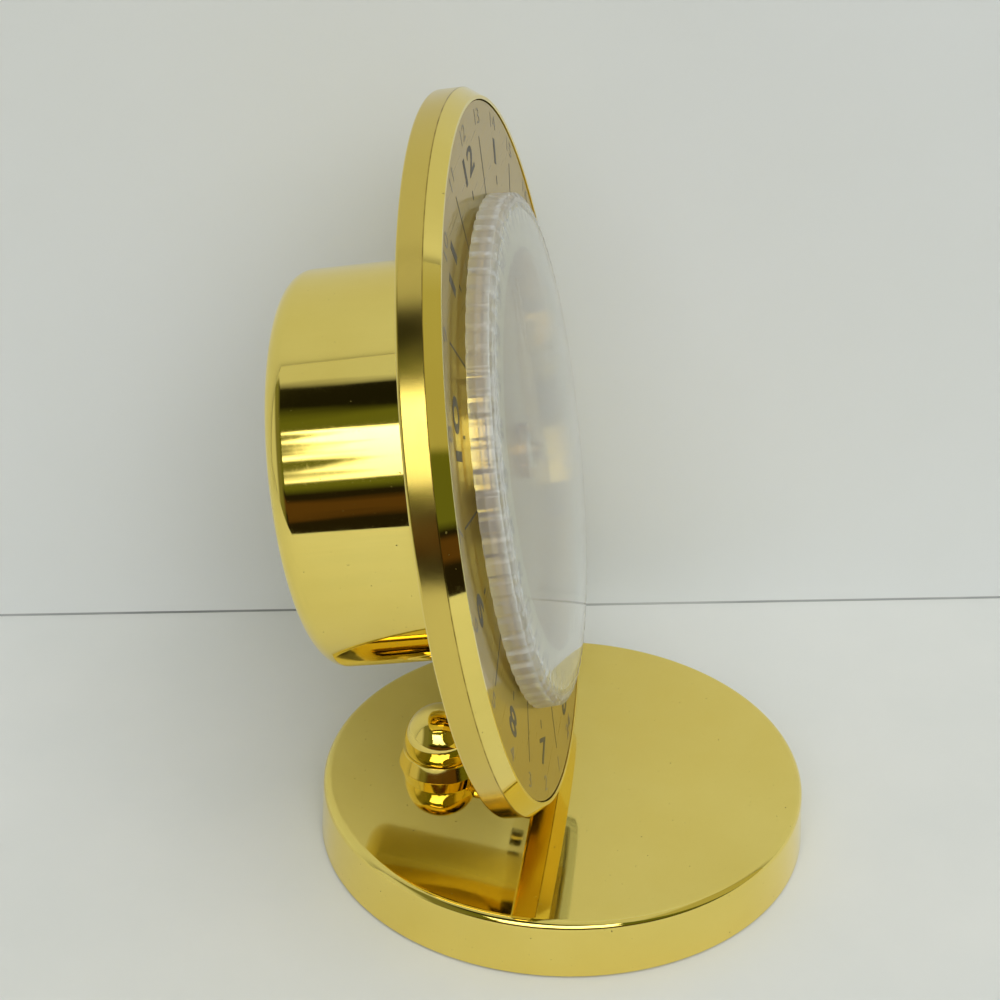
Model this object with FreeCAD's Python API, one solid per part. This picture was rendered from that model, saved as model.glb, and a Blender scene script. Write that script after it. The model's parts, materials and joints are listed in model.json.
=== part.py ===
import FreeCAD, Part
import math
import os

from FreeCAD import Placement, Rotation, Vector

# Desk clock with a calendar: a polished round foot, a ball swivel, and a round head
# that carries the dial, a fluted clear cap with the date ring, and the movement drum.
# Millimetres. Origin at the centre of the foot's underside, +Z up, the dial faces -Y.

os.makedirs("parts", exist_ok=True)

# ------------------------------------------------------------------ driving dimensions

# Foot: a spun brass cup over a steel weight, with felt below.
foot_diameter = 100.0
foot_height = 12.6
foot_sheet = 1.2
foot_wall_taper = 0.7
foot_top_edge_radius = 1.8
foot_rim_lift = 0.4
felt_thickness = 1.4
felt_inset = 1.0
weight_fit_gap = 0.1

# Ball swivel, centred behind the foot's centre.
swivel_behind = 25.3
ball_radius = 7.6
ball_cavity_radius = 5.75
ball_centre_lift = 5.2
ball_window_angle = 39.0
ball_plug_radius = 2.6
collar_radius = 8.8
collar_wall_taper = 0.9
collar_height = 3.1
collar_edge_radius = 0.35
sphere_running_gap = 0.05
liner_thickness = 0.6
liner_window_angle = 27.0
liner_top_angle = 64.0
washer_top_angle = 70.0
swivel_hole_gap = 0.3
pocket_floor_gap = 0.6
pocket_web = 3.6

# Tension bolt that pulls the ball into its seat.
bolt_radius = 1.5
bolt_head_radius = 2.7
bolt_head_height = 1.8
bolt_socket_width = 2.0
bolt_socket_depth = 1.0
thread_gap = 0.02
shank_gap = 0.2
bolt_past_nut = 0.4
disc_spring_count = 3
disc_spring_radius = 3.4
disc_spring_sheet = 0.25
disc_spring_cone = 0.16
disc_spring_gap = 0.02
lock_nut_width = 5.5
lock_nut_height = 1.8
counterbore_gap = 0.5

# Head: how it stands at rest, and where it is carried.
rest_lean_angle = 0.7
rest_tilt_angle = 10.2
neck_rim_inset = 4.9
neck_behind = 19.4

# Head shell: spun brass dish with a bevelled front edge.
head_radius = 69.6
rim_width = 4.8
bevel_width = 2.8
bevel_run = 1.9
head_sheet = 1.0
bevel_lip = 0.7
head_back_edge_chamfer = 0.4

# Dial plate.
dial_recess = 0.25
dial_sheet = 0.8
dial_edge_gap = 0.2
dial_centre_gap = 0.1

# Movement drum, drawn round the movement's corners.
movement_drum_gap = 1.765
drum_depth = 32.6
drum_sheet = 0.8
drum_back_edge_radius = 4.0
drum_opening_inset = 6.8
drum_flange_margin = 3.8
drum_hole_gap = 0.1

# Screws from behind that hold shell, drum flange and dial posts together.
rear_screw_count = 4
rear_screw_drum_margin = 3.4
rear_screw_start_angle = 45.0
rear_screw_radius = 1.0
rear_screw_head_radius = 1.9
rear_screw_head_height = 1.3
rear_screw_bite = 3.5
screw_hole_gap = 0.15
post_radius = 2.6

# Rear cap of the drum.
cap_thickness = 1.6
cap_recess = 0.2
cap_edge_gap = 0.15
cap_lug_count = 4
cap_lug_angle = 26.0
cap_lug_overlap = 1.2
cap_lug_height = 1.5
cap_lug_gap = 0.05
cap_notch_radius = 5.0
cap_notch_depth = 1.6
cap_knob_hole_gap = 1.0

# Neck: a short stud from the ball's side to the back of the head shell.
neck_radius = 2.2
neck_foot_radius = 4.0
neck_foot_height = 1.6
neck_flare_radius = 1.2
neck_stud_radius = 1.5
neck_stud_end = 0.4
neck_seat_gap = 0.02
neck_washer_radius = 3.4
neck_washer_thickness = 0.8
neck_nut_width = 5.5
neck_nut_height = 2.0

# Clear fluted cap.
crystal_radius = 49.4
crystal_wall_height = 4.4
crystal_wall_taper = 0.4
crystal_shoulder_inset = 1.2
crystal_shoulder_height = 5.0
crystal_crown_inset = 3.4
crystal_crown_start = 5.3
crystal_crown_height = 8.2
crystal_wall = 2.4
crystal_lip_reach = 1.1
crystal_front_thickness = 1.8
crystal_lip_height = 1.3
crystal_dial_gap = 0.25
flute_count = 75
flute_width = 0.9
flute_depth = 0.5

# Guide ring that traps the cap's lip and lets it turn.
guide_gap = 0.3
guide_wall = 1.4
guide_lip_overlap = 1.1
guide_flange_height = 0.8
guide_tab_count = 3
guide_tab_angle = 12.0
guide_tab_reach = 4.6
guide_tab_thickness = 0.8
guide_screw_radius = 0.8
guide_screw_head_radius = 1.5
guide_screw_head_height = 0.7

# Date ring, glued under the step inside the clear cap.
date_ring_width = 8.45
date_ring_sheet = 0.5
date_ring_lift = 3.0
date_ring_edge_gap = 0.05

# Movement housing, as wide as the battery and its contacts need.
movement_corner = 5.0
movement_depth = 22.0
movement_split = 10.5
movement_wall = 1.2
bushing_radius = 3.5
bushing_length = 1.6
bushing_nut_radius = 5.4
bushing_nut_height = 1.4
bushing_nut_notch = 1.2

# Concentric arbors: seconds inside minutes inside hours inside the bushing.
second_arbor_radius = 0.5
arbor_wall = 0.55
arbor_gap = 0.06

# Motion work: the minute pinion drives a wheel whose pinion drives the hour wheel.
# The second pair's module follows from the first, because both share their two axes.
first_module = 0.5
pinion_teeth = 12
minute_wheel_teeth = 36
hour_wheel_teeth = 48
gear_width = 1.0
gear_level_gap = 0.5
gear_front_gap = 0.5
tooth_addendum = 0.9
tooth_dedendum = 1.2
tooth_backlash = 0.08
pressure_angle = 20.0
flank_steps = 3

# Hands.
hour_hand_length = 22.0
minute_hand_length = 33.0
second_hand_length = 35.0
second_hand_tail = 10.0
hand_sheet = 0.35
hand_spacing = 0.8
hand_hub_radius = 2.3
hour_hand_width = 3.4
minute_hand_width = 2.6
second_hand_width = 0.8
hand_tip_width = 0.8

# Setting shaft and knob, behind the motion wheel.
setting_shaft_radius = 1.1
knob_radius = 6.5
knob_height = 4.0
knob_stand_off = 0.8
knob_flute_count = 18
knob_flute_radius = 0.6

# Battery and electrics.
battery_radius = 7.1
battery_length = 49.2
battery_button_radius = 2.7
battery_button_length = 1.3
battery_wall_gap = 3.1
battery_bay_gap = 0.4
contact_sheet = 0.4
contact_width = 9.0
contact_boss_radius = 2.2
contact_boss_reach = 1.51
contact_gap = 0.02
board_width = 30.0
board_height = 12.0
board_thickness = 1.2
board_wall_gap = 0.8
coil_radius = 3.4
coil_core_radius = 1.1
coil_length = 14.0
coil_wall_gap = 3.4
coil_battery_gap = 1.5
coil_flange = 1.0
coil_seat_gap = 0.05

# ------------------------------------------------------------------ helpers

X_AXIS = Vector(1, 0, 0)
Y_AXIS = Vector(0, 1, 0)
Z_AXIS = Vector(0, 0, 1)


def save(node, *solids):
    """Write one node, as one solid or as a group of separate solids."""
    shape = solids[0] if len(solids) == 1 else Part.makeCompound(list(solids))
    shape.exportStep("parts/%s.step" % node)
    return shape


def corner_path(corners):
    """Edges through (across, along, radius) corners, with a tangent arc at each radius."""
    points = [Vector(across, 0, along) for across, along, radius in corners]
    edges = []
    starts = []
    ends = []
    for index, (across, along, radius) in enumerate(corners):
        here = points[index]
        back = (points[index - 1] - here).normalize()
        ahead = (points[(index + 1) % len(points)] - here).normalize()
        if radius <= 0:
            starts.append(here)
            ends.append(here)
            continue
        half_angle = back.getAngle(ahead) / 2
        setback = radius / math.tan(half_angle)
        centre = here + (back + ahead).normalize() * (radius / math.sin(half_angle))
        middle = centre + (here - centre).normalize() * radius
        starts.append(here + back * setback)
        ends.append(here + ahead * setback)
        edges.append(Part.Arc(starts[-1], middle, ends[-1]).toShape())
    for index in range(len(points)):
        start = ends[index - 1]
        end = starts[index]
        if start.distanceToPoint(end) > 1e-6:
            edges.append(Part.LineSegment(start, end).toShape())
    return Part.Wire(Part.__sortEdges__(edges))


def turned(corners):
    """Solid of revolution about Z from a closed outline of (radius, height, fillet) corners."""
    face = Part.Face(corner_path(corners))
    return face.revolve(Vector(0, 0, 0), Z_AXIS, 360)


def turned_edges(edges):
    """Solid of revolution about Z from edges that close on themselves."""
    face = Part.Face(Part.Wire(Part.__sortEdges__(edges)))
    return face.revolve(Vector(0, 0, 0), Z_AXIS, 360)


def disc(radius, bottom, top, inner=0.0):
    """Plain round plate or ring between two heights."""
    body = Part.makeCylinder(radius, top - bottom, Vector(0, 0, bottom))
    if inner > 0:
        body = body.cut(Part.makeCylinder(inner, top - bottom, Vector(0, 0, bottom)))
    return body


def prism(points, bottom, top):
    """Straight prism over a flat outline of (x, y) points."""
    corners = [Vector(x, y, bottom) for x, y in points]
    face = Part.Face(Part.makePolygon(corners + corners[:1]))
    return face.extrude(Vector(0, 0, top - bottom))


def hexagon(width, bottom, top, bore=0.0):
    """Hexagonal nut or socket of a given width across flats."""
    corner = width / 2 / math.cos(math.radians(30))
    points = [(corner * math.cos(math.radians(60 * k)), corner * math.sin(math.radians(60 * k)))
              for k in range(6)]
    body = prism(points, bottom, top)
    if bore > 0:
        body = body.cut(Part.makeCylinder(bore, top - bottom, Vector(0, 0, bottom)))
    return body


def around(shape, count, start_angle=0.0):
    """Copies of a shape spaced evenly about Z."""
    copies = []
    for index in range(count):
        copy = shape.copy()
        copy.rotate(Vector(0, 0, 0), Z_AXIS, start_angle + index * 360.0 / count)
        copies.append(copy)
    return copies


def sphere_zone(outer, inner, low_angle, high_angle):
    """Part of a hollow sphere between two angles counted up from its lowest point."""
    def at(radius, angle):
        turn = math.radians(angle)
        return Vector(radius * math.sin(turn), 0, -radius * math.cos(turn))
    middle = (low_angle + high_angle) / 2
    edges = [
        Part.Arc(at(outer, low_angle), at(outer, middle), at(outer, high_angle)).toShape(),
        Part.LineSegment(at(outer, high_angle), at(inner, high_angle)).toShape(),
        Part.Arc(at(inner, high_angle), at(inner, middle), at(inner, low_angle)).toShape(),
        Part.LineSegment(at(inner, low_angle), at(outer, low_angle)).toShape(),
    ]
    return turned_edges(edges)


def spur_gear(module, teeth, bottom, top, bore, tooth_at_angle):
    """Involute spur wheel with one tooth centred at the given angle, in degrees."""
    pitch = module * teeth / 2
    base = pitch * math.cos(math.radians(pressure_angle))
    tip = pitch + module * tooth_addendum
    root = pitch - module * tooth_dedendum
    slope = math.tan(math.radians(pressure_angle))
    roll_at_pitch = slope - math.radians(pressure_angle)
    half_tooth = (math.pi * module / 2 - tooth_backlash) / 2 / pitch
    flank = []
    for step in range(flank_steps + 1):
        radius = max(base, root) + (tip - max(base, root)) * step / flank_steps
        angle = math.acos(min(1.0, base / radius))
        flank.append((radius, half_tooth + roll_at_pitch - (math.tan(angle) - angle)))
    if root < base:
        flank.insert(0, (root, flank[0][1]))
    points = []
    for tooth in range(teeth):
        centre = math.radians(tooth_at_angle) + tooth * 2 * math.pi / teeth
        sides = [(r, centre - a) for r, a in flank] + [(r, centre + a) for r, a in reversed(flank)]
        points += [(r * math.cos(t), r * math.sin(t)) for r, t in sides]
    wheel = prism(points, bottom, top)
    return wheel.cut(Part.makeCylinder(bore, top - bottom, Vector(0, 0, bottom)))


def moved(shape, x=0.0, y=0.0, z=0.0):
    """The shape shifted in its own frame."""
    copy = shape.copy()
    copy.translate(Vector(x, y, z))
    return copy


# ------------------------------------------------------------------ sizes that follow

# The battery and its contacts set the movement's width, and the movement sets the drum.
battery_tip = (battery_length + battery_button_length) / 2
contact_wall = battery_tip + contact_gap + contact_boss_reach
movement_inside = contact_wall + contact_gap
movement_half = movement_inside + movement_wall
movement_reach = math.hypot(movement_half, movement_half - movement_corner)
battery_drop = movement_inside - battery_wall_gap - battery_radius
board_rise = movement_inside - board_wall_gap - board_height / 2
coil_side = movement_inside - coil_wall_gap - coil_radius
coil_rise = battery_radius - battery_drop + coil_battery_gap + coil_flange + coil_length / 2

drum_inside = movement_reach + movement_drum_gap
drum_radius = drum_inside + drum_sheet
drum_opening_radius = drum_radius - drum_opening_inset
rear_screw_circle = drum_radius + rear_screw_drum_margin
drum_flange_radius = rear_screw_circle + drum_flange_margin

# The clear cap's radius sets its lip, and with it the guide ring and the date ring.
crystal_inner_radius = crystal_radius - crystal_wall
crystal_bore_radius = crystal_inner_radius - crystal_lip_reach
crystal_shoulder_radius = crystal_radius - crystal_shoulder_inset
crystal_crown_radius = crystal_radius - crystal_crown_inset
guide_inner_radius = crystal_bore_radius - guide_gap - guide_wall
date_ring_radius = crystal_inner_radius - date_ring_edge_gap
date_ring_inner_radius = date_ring_radius - date_ring_width

dial_opening_radius = head_radius - bevel_run
neck_drop = head_radius - neck_rim_inset

# ------------------------------------------------------------------ frames of reference

# The motion wheel, its setting shaft and the knob stand above the dial's centre.
knob_rise = first_module * (pinion_teeth + minute_wheel_teeth) / 2
second_module = 2 * knob_rise / (pinion_teeth + hour_wheel_teeth)

ball_centre = Vector(0, swivel_behind, foot_height + ball_centre_lift)
lean = Rotation(Y_AXIS, rest_lean_angle)
tilt = Rotation(X_AXIS, -rest_tilt_angle)
stand_up = Rotation(X_AXIS, 90)

# Head frame: origin on the dial axis in the plane of the shell's back, local Z out of
# the dial, local Y up the dial, local X to the right of somebody who reads it.
ball_in_head = Vector(0, -neck_drop, -neck_behind)
head_turn = lean.multiply(tilt).multiply(stand_up)
head_frame = Placement(ball_centre - head_turn.multVec(ball_in_head), head_turn)

# Ball frame: origin at the ball's centre, turned as the head, so the neck runs along Z.
ball_frame = Placement(ball_centre, head_turn)
lean_frame = Placement(ball_centre, lean)
bolt_frame = Placement(ball_centre, Rotation())


def placed(shape, frame):
    """The shape carried from a local frame to where it stands at rest."""
    copy = shape.copy()
    copy.Placement = frame.multiply(copy.Placement)
    return copy


# ------------------------------------------------------------------ foot

foot_radius = foot_diameter / 2
foot_top_radius = foot_radius - foot_wall_taper
foot_inside = foot_radius - foot_sheet
foot_ceiling = foot_height - foot_sheet
swivel_hole_radius = math.sqrt(ball_radius ** 2 - ball_centre_lift ** 2) + swivel_hole_gap
swivel_hole = Part.makeCylinder(swivel_hole_radius, foot_height, Vector(0, swivel_behind, 0))

foot_inner_chamfer = (foot_top_edge_radius - foot_sheet) * (2 - math.sqrt(2))
foot_shoulder = foot_ceiling - foot_inner_chamfer
foot_top_inside = foot_top_radius - foot_sheet
foot_cup = turned([
    (foot_inside, foot_rim_lift, 0),
    (foot_radius, foot_rim_lift, 0),
    (foot_top_radius, foot_height, foot_top_edge_radius),
    (0, foot_height, 0),
    (0, foot_ceiling, 0),
    (foot_top_inside - foot_inner_chamfer, foot_ceiling, 0),
    (foot_top_inside, foot_shoulder, 0),
])
save("foot_shell", foot_cup.cut(swivel_hole))

# The weight tapers as the cup does, so the gap between them is the same at every height.
taper_per_height = foot_wall_taper / (foot_shoulder - foot_rim_lift)
weight_low_radius = foot_inside - (felt_thickness - foot_rim_lift) * taper_per_height - weight_fit_gap
weight_top_radius = foot_top_inside - weight_fit_gap
pocket_floor = ball_centre.z - ball_radius - pocket_floor_gap
counterbore_ceiling = pocket_floor - pocket_web
counterbore_radius = disc_spring_radius + counterbore_gap
weight = turned([
    (0, felt_thickness, 0),
    (weight_low_radius, felt_thickness, 0),
    (weight_top_radius, foot_shoulder, 0),
    (weight_top_radius - foot_inner_chamfer, foot_ceiling, 0),
    (0, foot_ceiling, 0),
])
pocket = moved(disc(swivel_hole_radius, pocket_floor, foot_height), y=swivel_behind)
bolt_hole = moved(disc(bolt_radius + shank_gap, 0, foot_height), y=swivel_behind)
counterbore = moved(disc(counterbore_radius, 0, counterbore_ceiling), y=swivel_behind)
save("foot_weight", weight.cut(pocket).cut(bolt_hole).cut(counterbore))
save("foot_felt", disc(foot_inside - felt_inset, 0, felt_thickness))

# ------------------------------------------------------------------ swivel

seat_radius = ball_radius + sphere_running_gap
collar_top = collar_height - ball_centre_lift


def seat_point(height):
    """Point of the ball seat at a height counted from the ball's centre."""
    return Vector(math.sqrt(seat_radius ** 2 - height ** 2), 0, height)


collar_low = -ball_centre_lift
collar_middle = (collar_low + collar_top) / 2
collar_corner = collar_edge_radius * (1 - math.sqrt(0.5))
collar_top_radius = collar_radius - collar_wall_taper
save("socket_collar", placed(turned_edges([
    Part.Arc(seat_point(collar_top), seat_point(collar_middle), seat_point(collar_low)).toShape(),
    Part.LineSegment(seat_point(collar_low), Vector(collar_radius, 0, collar_low)).toShape(),
    Part.LineSegment(Vector(collar_radius, 0, collar_low),
                     Vector(collar_top_radius, 0, collar_top - collar_edge_radius)).toShape(),
    Part.Arc(Vector(collar_top_radius, 0, collar_top - collar_edge_radius),
             Vector(collar_top_radius - collar_corner, 0, collar_top - collar_corner),
             Vector(collar_top_radius - collar_edge_radius, 0, collar_top)).toShape(),
    Part.LineSegment(Vector(collar_top_radius - collar_edge_radius, 0, collar_top),
                     seat_point(collar_top)).toShape(),
]), bolt_frame))

ball = Part.makeSphere(ball_radius).cut(Part.makeSphere(ball_cavity_radius))
window_slope = math.tan(math.radians(ball_window_angle))
window = Part.makeCone(0, 2 * ball_radius * window_slope, 2 * ball_radius,
                       Vector(0, 0, 0), Vector(0, -1, 0))
plug_hole = Part.makeCylinder(ball_plug_radius, 2 * ball_radius)
save("ball_shell", placed(ball.cut(window).cut(plug_hole), ball_frame))

liner_outer = ball_cavity_radius - sphere_running_gap
liner_inner = liner_outer - liner_thickness
liner = sphere_zone(liner_outer, liner_inner, liner_window_angle, liner_top_angle)
save("friction_liner", placed(liner, lean_frame))

washer_radius = liner_inner - sphere_running_gap
washer_flat = -washer_radius * math.cos(math.radians(washer_top_angle))
washer_bore = bolt_radius + thread_gap
washer = Part.makeSphere(washer_radius).cut(disc(washer_radius, washer_flat, washer_radius + 1))
save("ball_washer", placed(washer.cut(disc(washer_bore, -ball_radius, ball_radius)), bolt_frame))

spring_pitch = disc_spring_sheet + disc_spring_cone + disc_spring_gap
spring_top = counterbore_ceiling - ball_centre.z - disc_spring_gap
nut_top = spring_top - disc_spring_count * spring_pitch
nut_low = nut_top - lock_nut_height
bolt_end = nut_low - bolt_past_nut
bolt_head_top = washer_flat + bolt_head_height
bolt = disc(bolt_head_radius, washer_flat, bolt_head_top).fuse(disc(bolt_radius, bolt_end, washer_flat))
bolt = bolt.removeSplitter()
socket = hexagon(bolt_socket_width, bolt_head_top - bolt_socket_depth, bolt_head_top)
save("tension_bolt", placed(bolt.cut(socket), bolt_frame))

springs = []
for index in range(disc_spring_count):
    top = spring_top - index * spring_pitch
    rise_inner = disc_spring_cone if index % 2 else 0
    rise_outer = disc_spring_cone - rise_inner
    springs.append(placed(turned([
        (bolt_radius + shank_gap, top - rise_inner, 0),
        (disc_spring_radius, top - rise_outer, 0),
        (disc_spring_radius, top - rise_outer - disc_spring_sheet, 0),
        (bolt_radius + shank_gap, top - rise_inner - disc_spring_sheet, 0),
    ]), bolt_frame))
save("disc_springs", *springs)

lock_nut = hexagon(lock_nut_width, nut_low, nut_top, bolt_radius + thread_gap)
save("lock_nut", placed(lock_nut, bolt_frame))

# ------------------------------------------------------------------ head shell and drum

rim_front = rim_width
bevel_front = rim_width + bevel_width
dial_front = bevel_front - dial_recess
dial_back = dial_front - dial_sheet
web_front = head_sheet
flange_front = web_front + drum_sheet
drum_hole_radius = drum_radius + drum_hole_gap
screw_hole_radius = rear_screw_radius + screw_hole_gap


def rear_screw_places(shape):
    """Copies of a shape at the places of the rear screws."""
    return around(moved(shape, x=rear_screw_circle), rear_screw_count, rear_screw_start_angle)


screw_holes = Part.makeCompound(rear_screw_places(disc(screw_hole_radius, -drum_depth, dial_back)))

head_dish = turned([
    (drum_hole_radius, 0, 0),
    (head_radius - head_back_edge_chamfer, 0, 0),
    (head_radius, head_back_edge_chamfer, 0),
    (head_radius, rim_front, 0),
    (dial_opening_radius, bevel_front, 0),
    (dial_opening_radius - bevel_lip, bevel_front, 0),
    (dial_opening_radius - bevel_lip, bevel_front - bevel_lip, 0),
    (head_radius - head_sheet, rim_front - bevel_lip / 2, 0),
    (head_radius - head_sheet, web_front, 0),
    (drum_hole_radius, web_front, 0),
])
neck_hole = moved(disc(neck_stud_radius + screw_hole_gap, -1, 2 * web_front), y=-neck_drop)
save("head_shell", placed(head_dish.cut(screw_holes).cut(neck_hole), head_frame))

drum_back = -drum_depth
drum_floor = drum_back + drum_sheet
drum_inner_chamfer = (drum_back_edge_radius - drum_sheet) * (2 - math.sqrt(2))
drum_cup = turned([
    (drum_flange_radius, web_front, 0),
    (drum_flange_radius, flange_front, 0),
    (drum_inside, flange_front, 0),
    (drum_inside, drum_floor + drum_inner_chamfer, 0),
    (drum_inside - drum_inner_chamfer, drum_floor, 0),
    (drum_opening_radius, drum_floor, 0),
    (drum_opening_radius, drum_back, 0),
    (drum_radius, drum_back, drum_back_edge_radius),
    (drum_radius, web_front, 0),
])
notch = moved(disc(cap_notch_radius, drum_back - 1, drum_floor + 1),
              y=drum_opening_radius + cap_notch_depth - cap_notch_radius)
save("drum_case", placed(drum_cup.cut(screw_holes).cut(notch), head_frame))

post = disc(post_radius, flange_front, dial_back)
post_hole = disc(rear_screw_radius + thread_gap, flange_front, flange_front + rear_screw_bite)
posts = rear_screw_places(post.cut(post_hole))
save("dial_posts", *[placed(item, head_frame) for item in posts])

screw = disc(rear_screw_head_radius, -rear_screw_head_height, 0)
screw = screw.fuse(disc(rear_screw_radius, 0, flange_front + rear_screw_bite - thread_gap))
slot_depth = rear_screw_head_height / 2
slot = Part.makeBox(3 * rear_screw_head_radius, 0.3 * rear_screw_head_radius, slot_depth)
slot.translate(Vector(-1.5 * rear_screw_head_radius, -0.15 * rear_screw_head_radius,
                      -rear_screw_head_height))
screws = rear_screw_places(screw.removeSplitter().cut(slot))
save("rear_screws", *[placed(item, head_frame) for item in screws])

# ------------------------------------------------------------------ rear cap

cap_radius = drum_opening_radius - cap_edge_gap
cap_back = drum_back + cap_recess
cap_front = cap_back + cap_thickness
cap_lug_radius = drum_opening_radius + cap_lug_overlap
cap_lug_back = drum_floor + cap_lug_gap
lug_sector = Part.makeCylinder(cap_lug_radius, cap_lug_height, Vector(0, 0, cap_lug_back),
                               Z_AXIS, cap_lug_angle)
lug = lug_sector.cut(disc(cap_radius - cap_thickness, drum_back, 0))
cap = disc(cap_radius, cap_back, cap_front)
cap = cap.fuse(disc(cap_radius, cap_back, cap_lug_back + cap_lug_height, cap_radius - cap_thickness))
for copy in around(lug, cap_lug_count, rear_screw_start_angle - cap_lug_angle / 2):
    cap = cap.fuse(copy)
knob_hole = moved(disc(knob_radius + cap_knob_hole_gap, drum_back - 1, 0), y=knob_rise)
save("rear_cap", placed(cap.removeSplitter().cut(knob_hole), head_frame))

# ------------------------------------------------------------------ neck

plug_low = math.sqrt(ball_cavity_radius ** 2 - ball_plug_radius ** 2)
plug_rim = math.sqrt(ball_radius ** 2 - ball_plug_radius ** 2)
neck_start = math.sqrt(ball_radius ** 2 - neck_radius ** 2)
dome_middle = (ball_plug_radius + neck_radius) / 2
dome_rise = math.sqrt(ball_radius ** 2 - dome_middle ** 2)
plug_fit = ball_plug_radius - thread_gap
neck_plug = turned_edges([
    Part.LineSegment(Vector(0, 0, plug_low), Vector(plug_fit, 0, plug_low)).toShape(),
    Part.LineSegment(Vector(plug_fit, 0, plug_low), Vector(plug_fit, 0, plug_rim)).toShape(),
    Part.Arc(Vector(plug_fit, 0, plug_rim), Vector(dome_middle, 0, dome_rise),
             Vector(neck_radius, 0, neck_start)).toShape(),
    Part.LineSegment(Vector(neck_radius, 0, neck_start), Vector(0, 0, neck_start)).toShape(),
    Part.LineSegment(Vector(0, 0, neck_start), Vector(0, 0, plug_low)).toShape(),
])
neck_seat = neck_behind - neck_seat_gap
neck_washer_low = neck_behind + web_front + neck_seat_gap
neck_nut_low = neck_washer_low + neck_washer_thickness
neck_nut_top = neck_nut_low + neck_nut_height
neck_stem = turned([
    (0, neck_start, 0),
    (neck_radius, neck_start, 0),
    (neck_radius, neck_seat - neck_foot_height, neck_flare_radius),
    (neck_foot_radius, neck_seat - neck_foot_height, 0),
    (neck_foot_radius, neck_seat, 0),
    (neck_stud_radius, neck_seat, 0),
    (neck_stud_radius, neck_nut_top + neck_stud_end, 0),
    (0, neck_nut_top + neck_stud_end, 0),
])
save("neck_post", placed(neck_plug.fuse(neck_stem).removeSplitter(), ball_frame))
neck_bore = neck_stud_radius + thread_gap
neck_washer = disc(neck_washer_radius, neck_washer_low, neck_nut_low, neck_bore)
save("neck_washer", placed(neck_washer, ball_frame))
save("neck_nut", placed(hexagon(neck_nut_width, neck_nut_low, neck_nut_top, neck_bore), ball_frame))

# ------------------------------------------------------------------ dial and guide ring

guide_tab_circle = guide_inner_radius - guide_tab_reach / 2
guide_screw_hole = Part.makeCompound(around(
    moved(disc(guide_screw_radius + thread_gap, 0, 4 * dial_front), x=guide_tab_circle),
    guide_tab_count))
dial = disc(dial_opening_radius - bevel_lip - dial_edge_gap, dial_back, dial_front,
            bushing_radius + dial_centre_gap)
save("dial_plate", placed(dial.cut(guide_screw_hole), head_frame))

guide_neck_radius = crystal_bore_radius - guide_gap
guide_flange_low = dial_front + crystal_dial_gap + crystal_lip_height + guide_gap
guide_flange_top = guide_flange_low + guide_flange_height
guide_flange_radius = crystal_bore_radius + guide_lip_overlap - guide_gap
guide = disc(guide_neck_radius, dial_front, guide_flange_top, guide_inner_radius)
guide = guide.fuse(disc(guide_flange_radius, guide_flange_low, guide_flange_top, guide_inner_radius))
tab = Part.makeCylinder(guide_inner_radius + 0.5, guide_tab_thickness, Vector(0, 0, dial_front),
                        Z_AXIS, guide_tab_angle)
tab = tab.cut(disc(guide_inner_radius - guide_tab_reach, dial_front, guide_flange_top))
for copy in around(tab, guide_tab_count, -guide_tab_angle / 2):
    guide = guide.fuse(copy)
save("crystal_guide", placed(guide.removeSplitter().cut(guide_screw_hole), head_frame))

guide_screw_seat = dial_front + guide_tab_thickness
guide_screw = disc(guide_screw_head_radius, guide_screw_seat, guide_screw_seat + guide_screw_head_height)
guide_screw = guide_screw.fuse(disc(guide_screw_radius, dial_back, guide_screw_seat)).removeSplitter()
guide_screws = around(moved(guide_screw, x=guide_tab_circle), guide_tab_count)
save("guide_screws", *[placed(item, head_frame) for item in guide_screws])

# ------------------------------------------------------------------ clear cap and date ring


def crown_arc(rim_radius, rim_height, top_height):
    """Arc from the rim of a shallow dome to its top on the axis."""
    rise = top_height - rim_height
    sphere = (rim_radius ** 2 + rise ** 2) / (2 * rise)
    half = rim_radius / 2
    half_height = top_height - sphere + math.sqrt(sphere ** 2 - half ** 2)
    return Part.Arc(Vector(rim_radius, 0, rim_height), Vector(half, 0, half_height),
                    Vector(0, 0, top_height)).toShape()


crystal_foot = dial_front + crystal_dial_gap
lip_top = crystal_foot + crystal_lip_height
step_height = dial_front + date_ring_lift + date_ring_sheet
crown_inside = dial_front + crystal_crown_start - crystal_front_thickness
crown_inside_top = dial_front + crystal_crown_height - crystal_front_thickness
crystal_corners = [
    Vector(0, 0, crown_inside_top),
    Vector(crystal_bore_radius, 0, crown_inside),
    Vector(crystal_bore_radius, 0, step_height),
    Vector(crystal_inner_radius, 0, step_height),
    Vector(crystal_inner_radius, 0, lip_top),
    Vector(crystal_bore_radius, 0, lip_top),
    Vector(crystal_bore_radius, 0, crystal_foot),
    Vector(crystal_radius, 0, crystal_foot),
    Vector(crystal_radius - crystal_wall_taper, 0, dial_front + crystal_wall_height),
    Vector(crystal_shoulder_radius, 0, dial_front + crystal_shoulder_height),
    Vector(crystal_crown_radius, 0, dial_front + crystal_crown_start),
    Vector(0, 0, dial_front + crystal_crown_height),
]
crystal_edges = [crown_arc(crystal_bore_radius, crown_inside, crown_inside_top)]
for start, end in zip(crystal_corners[1:-2], crystal_corners[2:-1]):
    if start.distanceToPoint(end) > 1e-6:
        crystal_edges.append(Part.LineSegment(start, end).toShape())
crystal_edges.append(crown_arc(crystal_crown_radius, dial_front + crystal_crown_start,
                               dial_front + crystal_crown_height))
crystal_edges.append(Part.LineSegment(crystal_corners[-1], crystal_corners[0]).toShape())
crystal = turned_edges(crystal_edges)
flute_bottom = crystal_radius - flute_depth
flute_half = flute_width * (flute_depth + 1) / flute_depth / 2
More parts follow.
